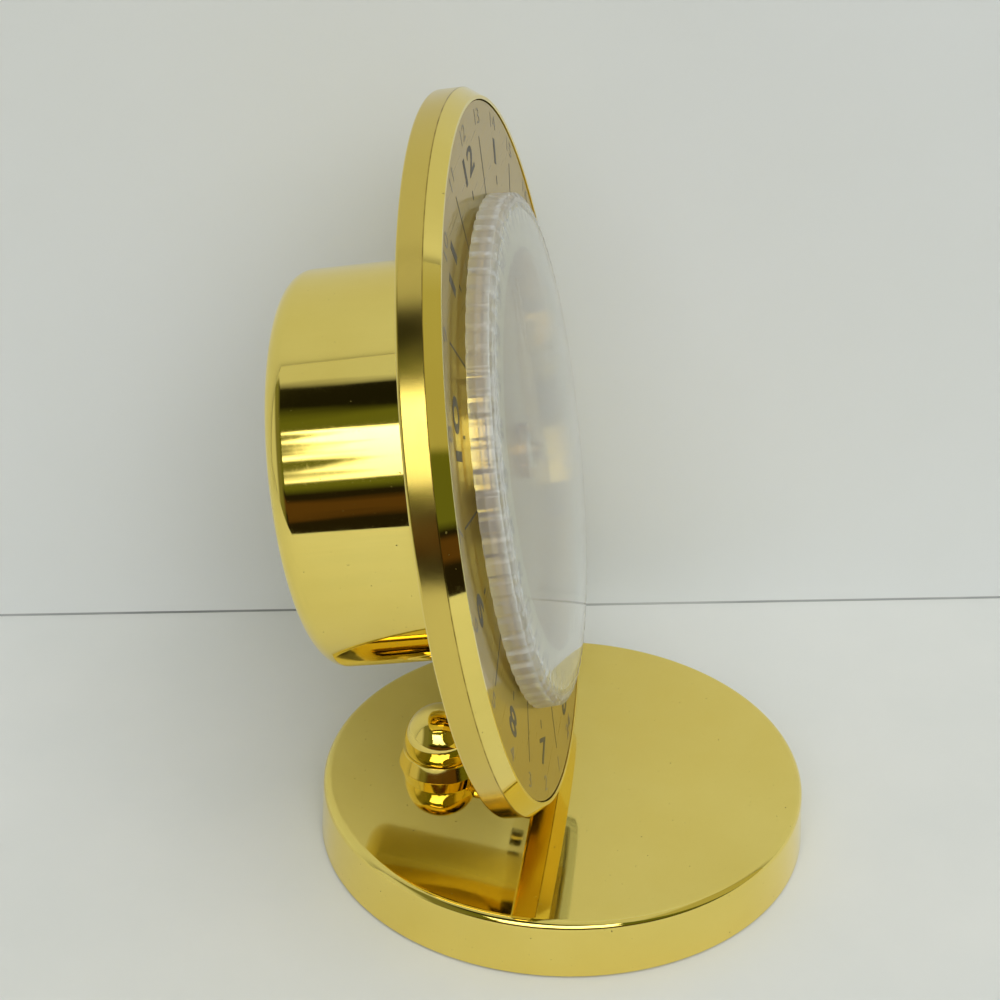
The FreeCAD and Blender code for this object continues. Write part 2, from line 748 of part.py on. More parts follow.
flute = prism([(flute_bottom, 0), (crystal_radius + 1, -flute_half), (crystal_radius + 1, flute_half)],
              dial_front, dial_front + crystal_crown_height)
crystal = crystal.cut(Part.makeCompound(around(flute, flute_count)))
save("crystal_cap", placed(crystal, head_frame))

date_ring = disc(date_ring_radius, step_height - date_ring_sheet, step_height, date_ring_inner_radius)
save("date_ring", placed(date_ring, head_frame))

# ------------------------------------------------------------------ movement housing

movement_front = dial_back
movement_back = movement_front - movement_depth
split_level = movement_front - movement_split


def housing_outline(inset):
    """Square outline with cut corners, pulled in by an inset."""
    half = movement_half - inset
    flat = movement_half - movement_corner - inset * math.tan(math.radians(22.5))
    return [(half, -flat), (half, flat), (flat, half), (-flat, half),
            (-half, flat), (-half, -flat), (-flat, -half), (flat, -half)]


second_bore = second_arbor_radius + arbor_gap
minute_outer = second_bore + arbor_wall
hour_bore = minute_outer + arbor_gap
hour_outer = hour_bore + arbor_wall
bushing_bore = hour_outer + arbor_gap
bushing_top = dial_front + bushing_length

front_shell = prism(housing_outline(0), split_level, movement_front)
front_shell = front_shell.cut(prism(housing_outline(movement_wall), split_level,
                                    movement_front - movement_wall))
bushing = disc(bushing_radius, movement_front - movement_wall, bushing_top)
front_shell = front_shell.fuse(bushing).removeSplitter()
save("movement_front", placed(front_shell.cut(disc(bushing_bore, split_level, bushing_top)), head_frame))

battery_centre_height = movement_back + battery_radius + battery_bay_gap
bay_half_width = battery_radius + battery_bay_gap
bay_half_length = battery_tip + battery_bay_gap
bay = Part.makeBox(2 * bay_half_length, 2 * bay_half_width, 3 * movement_wall,
                   Vector(-bay_half_length, -battery_drop - bay_half_width,
                          movement_back - movement_wall))
shaft_bore = moved(disc(setting_shaft_radius + arbor_gap, movement_back, 0), y=knob_rise)
back_shell = prism(housing_outline(0), movement_back, split_level)
back_shell = back_shell.cut(prism(housing_outline(movement_wall), movement_back + movement_wall,
                                  split_level))
save("movement_back", placed(back_shell.cut(bay).cut(shaft_bore), head_frame))

bushing_nut = disc(bushing_nut_radius, dial_front, dial_front + bushing_nut_height,
                   bushing_radius + thread_gap)
nut_notch = Part.makeBox(bushing_nut_notch, bushing_nut_notch, 2 * bushing_nut_height)
nut_notch.translate(Vector(bushing_nut_radius - bushing_nut_notch / 2, -bushing_nut_notch / 2, dial_front))
for copy in around(nut_notch, 4):
    bushing_nut = bushing_nut.cut(copy)
save("bushing_nut", placed(bushing_nut, head_frame))

# ------------------------------------------------------------------ motion work and hands

hour_level_top = movement_front - movement_wall - gear_front_gap
hour_level_low = hour_level_top - gear_width
minute_level_top = hour_level_low - gear_level_gap
minute_level_low = minute_level_top - gear_width
arbor_back = minute_level_low - gear_front_gap
hour_hand_low = bushing_top + hand_spacing - hand_sheet
minute_hand_low = hour_hand_low + hand_spacing
second_hand_low = minute_hand_low + hand_spacing

hour_wheel = spur_gear(second_module, hour_wheel_teeth, hour_level_low, hour_level_top, hour_bore, 90)
hour_tube = disc(hour_outer, hour_level_low, hour_hand_low + hand_sheet, hour_bore)
save("hour_wheel", placed(hour_wheel.fuse(hour_tube).removeSplitter(), head_frame))

minute_pinion = spur_gear(first_module, pinion_teeth, minute_level_low, minute_level_top,
                          second_bore, 90)
minute_tube = disc(minute_outer, arbor_back, minute_hand_low + hand_sheet, second_bore)
save("minute_pinion", placed(minute_pinion.fuse(minute_tube).removeSplitter(), head_frame))

second_arbor = disc(second_arbor_radius, arbor_back - gear_width, second_hand_low + hand_sheet)
second_wheel = disc(first_module * pinion_teeth, arbor_back - gear_width, arbor_back - gear_width / 2)
save("second_arbor", placed(second_arbor.fuse(second_wheel).removeSplitter(), head_frame))

motion_wheel = spur_gear(first_module, minute_wheel_teeth, minute_level_low, minute_level_top,
                         setting_shaft_radius, -90 + 180.0 / minute_wheel_teeth)
motion_pinion = spur_gear(second_module, pinion_teeth, minute_level_top, hour_level_top,
                          setting_shaft_radius, -90 + 180.0 / pinion_teeth)
motion_wheel = motion_wheel.fuse(motion_pinion).removeSplitter()
save("motion_wheel", placed(moved(motion_wheel, y=knob_rise), head_frame))

knob_back = drum_back - knob_stand_off - knob_height
shaft_front = movement_front - movement_wall - arbor_gap
setting_shaft = disc(setting_shaft_radius, knob_back + knob_height / 2, shaft_front)
save("setting_shaft", placed(moved(setting_shaft, y=knob_rise), head_frame))
knob = disc(knob_radius, knob_back, knob_back + knob_height)
knob_flute = moved(disc(knob_flute_radius, knob_back - 1, knob_back + knob_height + 1), x=knob_radius)
knob = knob.cut(Part.makeCompound(around(knob_flute, knob_flute_count)))
knob = knob.cut(disc(setting_shaft_radius + thread_gap, knob_back + knob_height / 2, 0))
save("setting_knob", placed(moved(knob, y=knob_rise), head_frame))


def hand(length, width, tail, bore, low, hub):
    """Flat tapered hand that points up the dial, with a round hub."""
    blade = prism([(-width / 2, -tail), (width / 2, -tail), (width / 2, length * 0.75),
                   (hand_tip_width / 2, length), (-hand_tip_width / 2, length),
                   (-width / 2, length * 0.75)], low, low + hand_sheet)
    body = blade.fuse(disc(hub, low, low + hand_sheet)).removeSplitter()
    return body.cut(disc(bore, low, low + hand_sheet))


hour_hand = hand(hour_hand_length, hour_hand_width, 0, hour_outer + thread_gap, hour_hand_low,
                 hand_hub_radius + hour_outer - minute_outer)
save("hour_hand", placed(hour_hand, head_frame))
minute_hand = hand(minute_hand_length, minute_hand_width, 0, minute_outer + thread_gap,
                   minute_hand_low, hand_hub_radius)
save("minute_hand", placed(minute_hand, head_frame))
second_hand = hand(second_hand_length, second_hand_width, second_hand_tail,
                   second_arbor_radius + thread_gap, second_hand_low, hand_hub_radius)
save("second_hand", placed(second_hand, head_frame))

# ------------------------------------------------------------------ battery and electrics

battery = Part.makeCylinder(battery_radius, battery_length, Vector(-battery_tip, 0, 0), X_AXIS)
button = Part.makeCylinder(battery_button_radius, battery_button_length,
                           Vector(battery_tip - battery_button_length, 0, 0), X_AXIS)
battery = moved(battery.fuse(button), y=-battery_drop, z=battery_centre_height)
save("battery", placed(battery, head_frame))

contact_half = contact_width / 2
contact = Part.makeBox(contact_sheet, contact_width, contact_width,
                       Vector(contact_wall - contact_sheet, -contact_half, -contact_half))
contact_boss = Part.makeCylinder(contact_boss_radius, contact_boss_reach,
                                 Vector(battery_tip + contact_gap, 0, 0), X_AXIS)
contact = contact.fuse(contact_boss).removeSplitter()
contacts = [moved(item, y=-battery_drop, z=battery_centre_height) for item in around(contact, 2)]
save("battery_contacts", *[placed(item, head_frame) for item in contacts])

board_back = movement_back + movement_wall
board = Part.makeBox(board_width, board_height, board_thickness,
                     Vector(-board_width / 2, board_rise - board_height / 2, board_back))
save("circuit_board", placed(board.cut(moved(disc(setting_shaft_radius + 1, movement_back, 0),
                                             y=knob_rise)), head_frame))

coil_level = board_back + coil_radius + coil_seat_gap
coil_start = Vector(coil_side, coil_rise - coil_length / 2, coil_level)
coil = Part.makeCylinder(coil_radius, coil_length, coil_start, Y_AXIS)
coil = coil.cut(Part.makeCylinder(coil_core_radius + thread_gap, coil_length, coil_start, Y_AXIS))
save("drive_coil", placed(coil, head_frame))
core = Part.makeCylinder(coil_core_radius, coil_length + 2 * coil_flange,
                         coil_start - Y_AXIS * coil_flange, Y_AXIS)
save("coil_core", placed(core, head_frame))
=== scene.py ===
# %% [markdown]
# A desk clock with a calendar: a mirror-gold foot, a ball swivel, a round gold head with a
# champagne dial, and a clear fluted cap that turns. The script loads the engineering model
# as a fixed frame, then dresses it piece by piece. The frame is in metres. Sizes are
# written in millimetres here, and become metres on their way into a mesh or a material.

# %% Load the frame
import json
import math
import bpy
import numpy as np
from mathutils import Matrix, Vector


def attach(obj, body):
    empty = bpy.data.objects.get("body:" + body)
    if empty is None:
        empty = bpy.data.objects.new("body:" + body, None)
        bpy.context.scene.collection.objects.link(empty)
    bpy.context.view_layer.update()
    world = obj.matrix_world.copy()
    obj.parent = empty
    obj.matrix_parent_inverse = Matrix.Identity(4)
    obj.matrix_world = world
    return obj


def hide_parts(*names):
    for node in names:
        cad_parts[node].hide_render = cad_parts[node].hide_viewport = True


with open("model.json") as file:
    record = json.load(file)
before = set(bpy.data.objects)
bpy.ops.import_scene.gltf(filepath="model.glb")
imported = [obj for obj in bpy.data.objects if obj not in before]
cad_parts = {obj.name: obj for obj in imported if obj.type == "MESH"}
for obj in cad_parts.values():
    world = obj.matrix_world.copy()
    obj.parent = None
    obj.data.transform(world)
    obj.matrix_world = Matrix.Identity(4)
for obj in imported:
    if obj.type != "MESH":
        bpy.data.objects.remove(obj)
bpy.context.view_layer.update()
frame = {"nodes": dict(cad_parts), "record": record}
nodes = frame["nodes"]
MM = 0.001

# %% [markdown]
# The head leans, so its pieces are drawn in a frame of their own: the origin on the dial's
# axis at the back of the shell, z out of the dial, y up the dial, x to the reader's right.
# The ball is drawn with z up the head, and its neck with z out of the dial. All frames
# follow from the ball's centre and from the two angles that the swivel was set to.

# %% Frames of the head and of the ball
LEAN = math.radians(0.7)
TILT = math.radians(10.2)
BALL_CENTRE = np.array([0.0, 25.3, 17.8])
BALL_IN_HEAD = np.array([0.0, -64.7, -19.4])


def turn_about(axis, angle):
    """Rotation matrix by an angle about one of the three axes, right-handed."""
    return np.array(Matrix.Rotation(angle, 3, axis))


head_turn = turn_about("Y", LEAN) @ turn_about("X", -TILT) @ turn_about("X", math.pi / 2)
ball_turn = head_turn @ turn_about("X", -math.pi / 2)
head_origin = BALL_CENTRE - head_turn @ BALL_IN_HEAD
HEAD = (head_turn, head_origin)
BALL = (ball_turn, BALL_CENTRE)
NECK = (head_turn, BALL_CENTRE)
FOOT = (np.eye(3), np.zeros(3))
SWIVEL = (np.eye(3), BALL_CENTRE)
print("head origin in mm", head_origin.round(3), "dial axis", head_turn[:, 2].round(4))

# %% [markdown]
# Nearly everything here was turned or spun, so one surface does most of the work: a
# profile of rounded corners carried round an axis. Polish shows the smallest error in
# shading, so the normals come from the profile, and aren't guessed from the faces.

# %% A profile of rounded corners
SMALLEST_EDGE = 0.06
NEARLY_STRAIGHT = 1e-3


def rounded(corners, steps=6):
    """Profile points and outward normals from (radius, height, fillet) corners.

    Each corner becomes the arc of its fillet, whose centre lies on the corner's bisector
    at fillet / sin(half the corner's angle). Normals point to the right of the direction
    of travel. A corner on the axis, or in a straight run, stays one point."""
    table = np.array([corner[:2] for corner in corners], float)
    points = []
    normals = []
    for index, corner in enumerate(corners):
        here = table[index]
        before = table[index - 1] - here
        after = table[(index + 1) % len(table)] - here
        before /= np.linalg.norm(before)
        after /= np.linalg.norm(after)
        half = math.acos(np.clip(before @ after, -1, 1)) / 2
        on_axis = corner[0] <= 0
        if on_axis or half > math.pi / 2 - NEARLY_STRAIGHT:
            along = after if on_axis and abs(after[1]) < 0.9 else -before
            points.append(here)
            normals.append(np.array([along[1], -along[0]]))
            continue
        fillet = corner[2] if len(corner) > 2 else SMALLEST_EDGE
        bisector = (before + after) / np.linalg.norm(before + after)
        centre = here + bisector * fillet / math.sin(half)
        first = here + before * fillet / math.tan(half) - centre
        last = here + after * fillet / math.tan(half) - centre
        start = math.atan2(first[1], first[0])
        sweep = (math.atan2(last[1], last[0]) - start + math.pi) % (2 * math.pi) - math.pi
        angles = start + sweep * np.linspace(0, 1, steps)
        rays = np.stack([np.cos(angles), np.sin(angles)], 1)
        turns_left = before[0] * after[1] < before[1] * after[0]
        points.extend(centre + fillet * rays)
        normals.extend(rays if turns_left else -rays)
    return np.array(points), np.array(normals)


print("a rounded corner has", len(rounded([(1, 0), (2, 0), (2, 1), (1, 1)])[0]) // 4, "points")

# %% [markdown]
# A grid of points becomes a mesh in one go. Where a row shrinks to one point on the axis,
# as at the top of a ball, its quads would have no width, so they become triangles.

# %% From a grid to a mesh
SAME_POINT = 1e-6


def new_object(name, data):
    """An object in the scene, unmoved, with its place in its mesh."""
    thing = bpy.data.objects.new(name, data)
    bpy.context.scene.collection.objects.link(thing)
    return thing


def grid_mesh(name, rows, frame_of, normals=None, closed_profile=True):
    """Mesh over a grid of points: rows x columns x 3 millimetres in a local frame.

    Column i joins column i + 1 and the last joins the first, so the surface closes round
    its axis. A row whose points all meet on the axis is one point, a pole, with triangles."""
    turn, origin = frame_of
    row_count, column_count = rows.shape[:2]
    pole = np.ptp(rows, axis=1).max(-1) < SAME_POINT
    taken = np.where(pole, 1, column_count)
    start = np.concatenate([[0], np.cumsum(taken)[:-1]])
    index = start[:, None] + np.where(pole, 0, 1)[:, None] * np.arange(column_count)
    keep = np.concatenate([np.arange(count) + row * column_count
                           for row, count in enumerate(taken)])
    faces = []
    for low in range(row_count if closed_profile else row_count - 1):
        high = (low + 1) % row_count
        if pole[low] and pole[high]:
            continue
        below, above = index[low], index[high]
        quad = [below, np.roll(below, -1), np.roll(above, -1), above]
        if pole[low]:
            quad = quad[1:]
        elif pole[high]:
            quad = quad[:3]
        faces += np.stack(quad, 1).tolist()
    mesh = bpy.data.meshes.new(name)
    place = (rows.reshape(-1, 3)[keep] @ turn.T + origin) * MM
    mesh.from_pydata(place.tolist(), [], faces)
    mesh.polygons.foreach_set("use_smooth", np.ones(len(faces), bool))
    mesh.update()
    if normals is not None:
        facing = normals.reshape(-1, 3)[keep] @ turn.T
        mesh.normals_split_custom_set_from_vertices(facing.tolist())
    return new_object(name, mesh)


def report(thing):
    """Prints a piece's size in millimetres and its face count."""
    places = np.empty(3 * len(thing.data.vertices), np.float32)
    thing.data.vertices.foreach_get("co", places)
    size = np.ptp(places.reshape(-1, 3), axis=0) / MM
    print(thing.name, "mm", size.round(2), "faces", len(thing.data.polygons))


print("grid_mesh ready, poles closer than", SAME_POINT, "mm")

# %% [markdown]
# With a profile and a grid, a turned piece is one line: every point of the profile goes
# round at its own radius and height, and so does its normal.

# %% Surfaces of revolution
def full_turn(columns):
    """Angles of the columns of a closed surface."""
    return np.linspace(0, 2 * math.pi, columns, endpoint=False)


def revolved(radii, heights, angle):
    """Rows of points radius x (cos, sin) at each row's height.

    A row's radius is one number, or one for each column where it changes on its way."""
    around = np.stack([np.cos(angle), np.sin(angle)], -1)
    flat = radii[..., None] * around
    level = np.broadcast_to(heights[:, None, None], (len(heights), len(angle), 1))
    return np.concatenate([flat, level], -1)


def turned(name, corners, frame_of, columns=256, steps=6, centres=None):
    """Surface of revolution: point = centre + radius x (cos, sin) at its height.

    The profile runs with the material on its left. centres may give each corner a centre
    of its own along y, which lets a hole sit away from the outer circle's centre."""
    profile, outward = rounded(corners, steps)
    angle = full_turn(columns)
    rows = revolved(profile[:, :1], profile[:, 1], angle)
    if centres is not None:
        rows[..., 1] += np.repeat(np.array(centres, float), steps)[:, None]
    return grid_mesh(name, rows, frame_of, revolved(outward[:, :1], outward[:, 1], angle))


print("four columns of a turn", full_turn(4).round(2))

# %% [markdown]
# Colours are written as sRGB hex, as a colour picker shows them, and one function turns
# them to the linear numbers that the shader works in. One small function adds a node with
# its settings and links, so a material reads as a list of what feeds what.

# %% Colours and nodes
COLOURS = {"data_type": "RGBA"}


def linear(code, alpha=1.0):
    """Linear RGBA from an sRGB hex code."""
    parts = np.array([int(code[k:k + 2], 16) for k in (1, 3, 5)]) / 255
    curve = np.where(parts <= 0.04045, parts / 12.92, ((parts + 0.055) / 1.055) ** 2.4)
    return (*curve.tolist(), alpha)


def fill(tree, node, *values, **named):
    """Gives a node's inputs a number, a hex colour, or a socket to link to.

    Plain values go in order to the inputs that the node shows. Named ones go by the
    input's name, with _ for a space."""
    shown = [socket for socket in node.inputs if socket.enabled]
    pairs = list(zip(shown, values))
    pairs += [(node.inputs[key.replace("_", " ")], value) for key, value in named.items()]
    for socket, value in pairs:
        if isinstance(value, bpy.types.NodeSocket):
            tree.links.new(value, socket)
        else:
            socket.default_value = linear(value) if isinstance(value, str) else value


def add(tree, kind, *values, output=0, **named):
    """Adds a shader node, sets it up, and gives back one of the outputs that it shows.

    Names with a capital are inputs, and the others are the node's settings. A noise takes
    its place, scale, detail and roughness, and a range its value, low, high, and then the
    low and high that these become, or else 0 and 1."""
    node = tree.nodes.new("ShaderNode" + kind)
    inputs = {}
    for key, value in named.items():
        if key[0].isupper():
            inputs[key] = value
        else:
            setattr(node, key, value)
    fill(tree, node, *values, **inputs)
    if isinstance(output, str):
        return node.outputs[output]
    return [socket for socket in node.outputs if socket.enabled][output]


def new_finish(name, **constants):
    """A material with one Principled shader, and that shader's constant values."""
    material = bpy.data.materials.new(name)
    material.use_nodes = True
    tree = material.node_tree
    shader = tree.nodes["Principled BSDF"]
    fill(tree, shader, **constants)
    return material, tree, shader


print("mid grey #808080 is", round(linear("#808080")[0], 3), "linear")

# %% [markdown]
# Patterns are as big as the real thing, so a texture's scale is worked out from a size in
# millimetres. On a leaning piece a Mapping node undoes the lean that Object coordinates
# have, so that patterns follow the piece.

# %% Where patterns lie
def per_mm(size):
    """Texture scale, on coordinates in metres, for features about size millimetres wide."""
    return 1 / (size * MM)


def place_in(tree, frame_of):
    """Coordinates in metres in a local frame, worked out from Object coordinates."""
    turn, origin = frame_of
    back = Matrix(turn.T.tolist())
    shift = -(back @ Vector((origin * MM).tolist()))
    own = add(tree, "TexCoord", output="Object")
    return add(tree, "Mapping", own, Location=tuple(shift), Rotation=tuple(back.to_euler("XYZ")))


def from_axis(tree, place):
    """A place's distance from the local z axis: the length of its x and y."""
    flat = add(tree, "VectorMath", place, (1.0, 1.0, 0.0), operation="MULTIPLY")
    return add(tree, "VectorMath", flat, operation="LENGTH")


print("a 5 mm pattern has scale", per_mm(5))

# %% [markdown]
# Gold plate over polished brass: the foot, the head and the drum. Bright plating is a
# mirror with a greenish yellow cast. A faint waviness from the lathe, fine handling marks
# and a few specks of dust keep it from looking like a computer's mirror, all very weak.
# Real marks are a tenth of a millimetre and would not show, so these are about one.

# %% Mirror gold plate
def gold_plate(name, frame_of, colour="#F8E27E", wave_mm=0.0064, satin_from=None, shaded_edge_at=0.0):
    """Electroplated gold on spun and buffed brass, in the frame that it was turned in.

    A shell has a satin edge beyond the radius satin_from, and a thin line of painted shade at
    its front edge."""
    material, tree, shader = new_finish(name, Metallic=1.0)
    place = place_in(tree, frame_of)
    # clouds of slightly paler and hazier plate, about two centimetres across
    cloud = add(tree, "TexNoise", place, per_mm(22), 4.0, 0.55)
    paler = add(tree, "MapRange", cloud, 0.3, 0.7)
    haze = add(tree, "MapRange", cloud, 0.35, 0.75, 0.03, 0.075)
    # handling marks, shorter along the axis than round it
    streaked = add(tree, "Mapping", place, Scale=(1.0, 1.0, 3.0))
    rub = add(tree, "TexNoise", streaked, per_mm(1.6), 6.0, 0.7)
    marks = add(tree, "MapRange", rub, 0.52, 0.78)
    # only the highest peaks of a fine noise are specks of dust
    peaks = add(tree, "TexNoise", place, per_mm(0.8), 2.0, 0.55)
    dust = add(tree, "MapRange", peaks, 0.735, 0.76)
    base = add(tree, "Mix", paler, colour, "#F3DB74", **COLOURS)
    base = add(tree, "Mix", dust, base, "#A8985C", **COLOURS)
    rough = add(tree, "Math", marks, 0.05, haze, operation="MULTIPLY_ADD")
    rough = add(tree, "Math", dust, 0.4, rough, operation="MULTIPLY_ADD")
    waves = add(tree, "TexNoise", place, per_mm(9), 2.0, 0.55)
    normal = add(tree, "Bump", Height=waves, Distance=wave_mm * MM, Strength=1.0)
    if satin_from is not None:
        base, rough, normal = scoured_edge(tree, place, base, rough, normal, satin_from, shaded_edge_at)
    fill(tree, shader, Base_Color=base, Roughness=rough, Normal=normal)
    return material


def scoured_edge(tree, place, base, rough, normal, satin_from, shaded_edge_at):
    """The colour, roughness and normal of plate that turns satin at a shell's edge.

    Beyond the radius satin_from the brass was left as the lathe's scouring pad made it:
    satin, with fine lines round the axis. Along the sharp front edge, at the height given
    last, lies a thin patchy dark line of painted shade."""
    satin = add(tree, "MapRange", from_axis(tree, place), (satin_from - 0.04) * MM,
                (satin_from + 0.02) * MM)
    # lines 0.16 mm apart along the axis, stretched thirty times round it
    ringed = add(tree, "Mapping", place, Scale=(0.03, 0.03, 1.0))
    lines = add(tree, "TexNoise", ringed, per_mm(0.16), 3.0, 0.7)
    scoured = add(tree, "Math", lines, satin, operation="MULTIPLY")
    normal = add(tree, "Bump", Height=scoured, Distance=0.004 * MM, Strength=0.6, Normal=normal)
    # the pad pressed harder in some places than in others
    press = add(tree, "TexNoise", place, per_mm(14), 3.0, 0.55)
    patches = add(tree, "MapRange", press, 0.3, 0.7, 0.13, 0.21)
    rough = add(tree, "Mix", satin, rough, patches, data_type="FLOAT")
    base = add(tree, "Mix", satin, base, "#E2C866", **COLOURS)
    # the dark line of painted shade is 0.18 mm wide, and patchy
    level = add(tree, "SeparateXYZ", place, output=2)
    at_edge = add(tree, "Math", level, shaded_edge_at * MM, 0.09 * MM, operation="COMPARE")
    edge_shade_patches = add(tree, "TexNoise", place, per_mm(2.5), 4.0, 0.55)
    edge_shade_patches = add(tree, "MapRange", edge_shade_patches, 0.35, 0.6, 0.35, 0.8)
    painted_edge_shade = add(tree, "Math", at_edge, edge_shade_patches, operation="MULTIPLY")
    # painted shade: a dark line mixed into the colour along the front edge
    base = add(tree, "Mix", painted_edge_shade, base, "#6E5A24", **COLOURS)
    return base, rough, normal


HEAD_R = 69.6
RIM = 4.8
gold_foot = gold_plate("gold_plated_spun_brass_foot", FOOT)
gold_head = gold_plate("gold_plated_spun_brass_head", HEAD, satin_from=HEAD_R - 0.1, shaded_edge_at=RIM)
gold_ball = gold_plate("gold_plated_turned_brass_ball", BALL, "#F6DC78", 0.0)
print("gold plate", [len(gold.node_tree.nodes) for gold in (gold_foot, gold_head, gold_ball)])

# %% [markdown]
# The foot is a spun cup with a slightly tapered wall and a small round at its top edge,
# over a heavy weight. Its sheet is one closed surface. The swivel's hole sits behind the
# centre, so the rows at the hole have a centre of their own.

# %% Foot
FOOT_R = 50.0
FOOT_TOP_R = 49.3
FOOT_H = 12.6
FOOT_SHEET = 1.2
FOOT_GAP = 0.4
HOLE_R = 5.84
SWIVEL_BACK = BALL_CENTRE[1]
foot_plate = turned("foot_plated_cup", [
    (HOLE_R, FOOT_H - FOOT_SHEET), (FOOT_TOP_R - FOOT_SHEET, FOOT_H - FOOT_SHEET, 0.6),
    (FOOT_R - FOOT_SHEET, FOOT_GAP), (FOOT_R, FOOT_GAP, 0.3),
    (FOOT_TOP_R, FOOT_H, 1.8), (HOLE_R, FOOT_H)], FOOT, columns=320, steps=12,
    centres=[SWIVEL_BACK, 0, 0, 0, 0, SWIVEL_BACK])
foot_plate.data.materials.append(gold_foot)
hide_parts("foot_shell")
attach(foot_plate, "foot")
report(foot_plate)

# %% [markdown]
# The swivel: a low tapered collar, the ball that it holds, and a short neck from the ball's
# side to the back of the shell, where a nut holds it. The collar's seat is a belt of the
# same sphere as the ball, a little larger. Its heights count from the ball's centre.

# %% Collar
BALL_R = 7.6
SEAT_R = 7.65
COLLAR_TOP = -2.1
COLLAR_FOOT = FOOT_H - BALL_CENTRE[2]
seat_angles = np.linspace(math.asin(COLLAR_TOP / SEAT_R), math.asin(COLLAR_FOOT / SEAT_R), 7)
seat = [(SEAT_R * math.cos(a), SEAT_R * math.sin(a), 0.001) for a in seat_angles]
collar = turned("swivel_collar", seat + [(8.8, COLLAR_FOOT, 0.03), (7.9, COLLAR_TOP, 0.15)],
                SWIVEL, steps=5)
print("seat from", COLLAR_FOOT.round(2), "to", COLLAR_TOP, "mm beside the ball's centre")

# %% [markdown]
# The ball is open below for the tension bolt. The neck is pressed into the ball and
# polished flush, so it starts just under the ball's surface. It ends in a flange against
# the shell and a stud through it.

# %% Ball and neck
BALL_CAVITY = 5.75
BALL_OPEN = math.radians(-51.0)
NECK_START = 7.0
NECK_R = 2.2
FLANGE_R = 4.0
FLANGE_BACK = 17.78
FLANGE_FRONT = 19.38
STUD_R = 1.5
STUD_END = 23.62


def ball_surface(name, radius, cavity, columns=160, count=48):
    """Thick sphere open below: outside from the opening's edge to the top, inside back.

    The point at lift a and turn t is radius x (cos a cos t, cos a sin t, sin a)."""
    lift = np.linspace(BALL_OPEN, math.pi / 2, count)
    lift = np.concatenate([lift, lift[::-1]])
    outside = np.arange(2 * count) < count
    size = np.where(outside, radius, cavity)
    facing = np.where(outside, 1.0, -1.0)
    ray = revolved(np.cos(lift)[:, None], np.sin(lift), full_turn(columns))
    return grid_mesh(name, ray * size[:, None, None], BALL, ray * facing[:, None, None])


ball = ball_surface("swivel_ball", BALL_R, BALL_CAVITY)
neck = turned("swivel_neck", [
    (0, NECK_START), (NECK_R, NECK_START, 0.05), (NECK_R, FLANGE_BACK, 1.2),
    (FLANGE_R, FLANGE_BACK, 0.1), (FLANGE_R, FLANGE_FRONT, 0.1),
    (STUD_R, FLANGE_FRONT, 0.05), (STUD_R, STUD_END, 0.2), (0, STUD_END)], NECK, columns=128)
for piece, node, slot, body in ((collar, "socket_collar", "turned_gold", "foot"),
                                (ball, "ball_shell", "turned_gold", "head"),
                                (neck, "neck_post", "turned_gold", "head")):
    piece.data.materials.append(gold_ball)
    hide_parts(node)
    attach(piece, body)
    report(piece)

# %% [markdown]
# The head shell is a shallow spun dish: a plain back, a cylindrical rim, and a bevel that
# leads to the dial. Its edges were only broken before plating, so they catch the light.

# %% Head shell
BEVEL = 7.6
DIAL_R = 67.7
LIP_R = 67.0
DISH_SHEET = 1.0
DISH_HOLE = 38.9
shell = turned("head_plated_dish", [
    (DISH_HOLE, 0), (HEAD_R, 0, 0.7), (HEAD_R, RIM, 0.12), (DIAL_R, BEVEL, 0.08),
    (LIP_R, BEVEL), (LIP_R, 6.9), (HEAD_R - DISH_SHEET, 4.45),
    (HEAD_R - DISH_SHEET, DISH_SHEET), (DISH_HOLE, DISH_SHEET)], HEAD, columns=512, steps=7)
shell.data.materials.append(gold_head)
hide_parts("head_shell")
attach(shell, "head")
report(shell)

# %% [markdown]
# The movement drum is a deep-drawn cup with a rounded back edge, open at the back for the
# rear cap. The opening has one shallow thumb notch, where the radius of its rows grows as
# the circle of a cutter would leave it.

# %% Movement drum
DRUM_R = 38.8
DRUM_BACK = -32.6
DRUM_SHEET = 0.8
DRUM_ROUND = 4.0
DRUM_FLANGE_R = 46.0
OPENING_R = 32.0


def notched(radius, angle, cutter=5.0, depth=1.6):
    """Radius of a round opening that a cutter has also bitten into at the top.

    Along a ray at angle t from the top, the cutter's circle, whose centre is c out, is
    left at c cos t + sqrt(cutter squared - (c sin t) squared)."""
    centre = radius + depth - cutter
    off = (angle - math.pi / 2 + math.pi) % (2 * math.pi) - math.pi
    inside = cutter ** 2 - (centre * np.sin(off)) ** 2
    bite = centre * np.cos(off) + np.sqrt(np.maximum(inside, 0))
    return np.where((inside > 0) & (np.abs(off) < 1), np.maximum(radius, bite), radius)


profile, outward = rounded([
    (DRUM_FLANGE_R, DISH_SHEET), (DRUM_FLANGE_R, DISH_SHEET + DRUM_SHEET),
    (DRUM_R - DRUM_SHEET, DISH_SHEET + DRUM_SHEET, 0.8),
    (DRUM_R - DRUM_SHEET, DRUM_BACK + DRUM_SHEET, DRUM_ROUND - DRUM_SHEET),
    (OPENING_R, DRUM_BACK + DRUM_SHEET, 0.1), (OPENING_R, DRUM_BACK, 0.1),
    (DRUM_R, DRUM_BACK, DRUM_ROUND), (DRUM_R, DISH_SHEET, 0.05)], 10)
angle = full_turn(512)
radii = np.repeat(profile[:, :1], len(angle), 1)
radii[profile[:, 0] < OPENING_R + 0.2] += notched(OPENING_R, angle) - OPENING_R
drum = grid_mesh("drum_plated_cup", revolved(radii, profile[:, 1], angle), HEAD,
                 revolved(outward[:, :1], outward[:, 1], angle))
drum.data.materials.append(gold_head)
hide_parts("drum_case")
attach(drum, "head")
report(drum)

# %% [markdown]
# The dial plate is champagne metal, brushed in straight strokes and lacquered, so it has a
# soft sheen under a thin clear gloss. The strokes are drawn as noise stretched eighty
# times along the dial's x, at a stroke width of about a fifth of a millimetre.

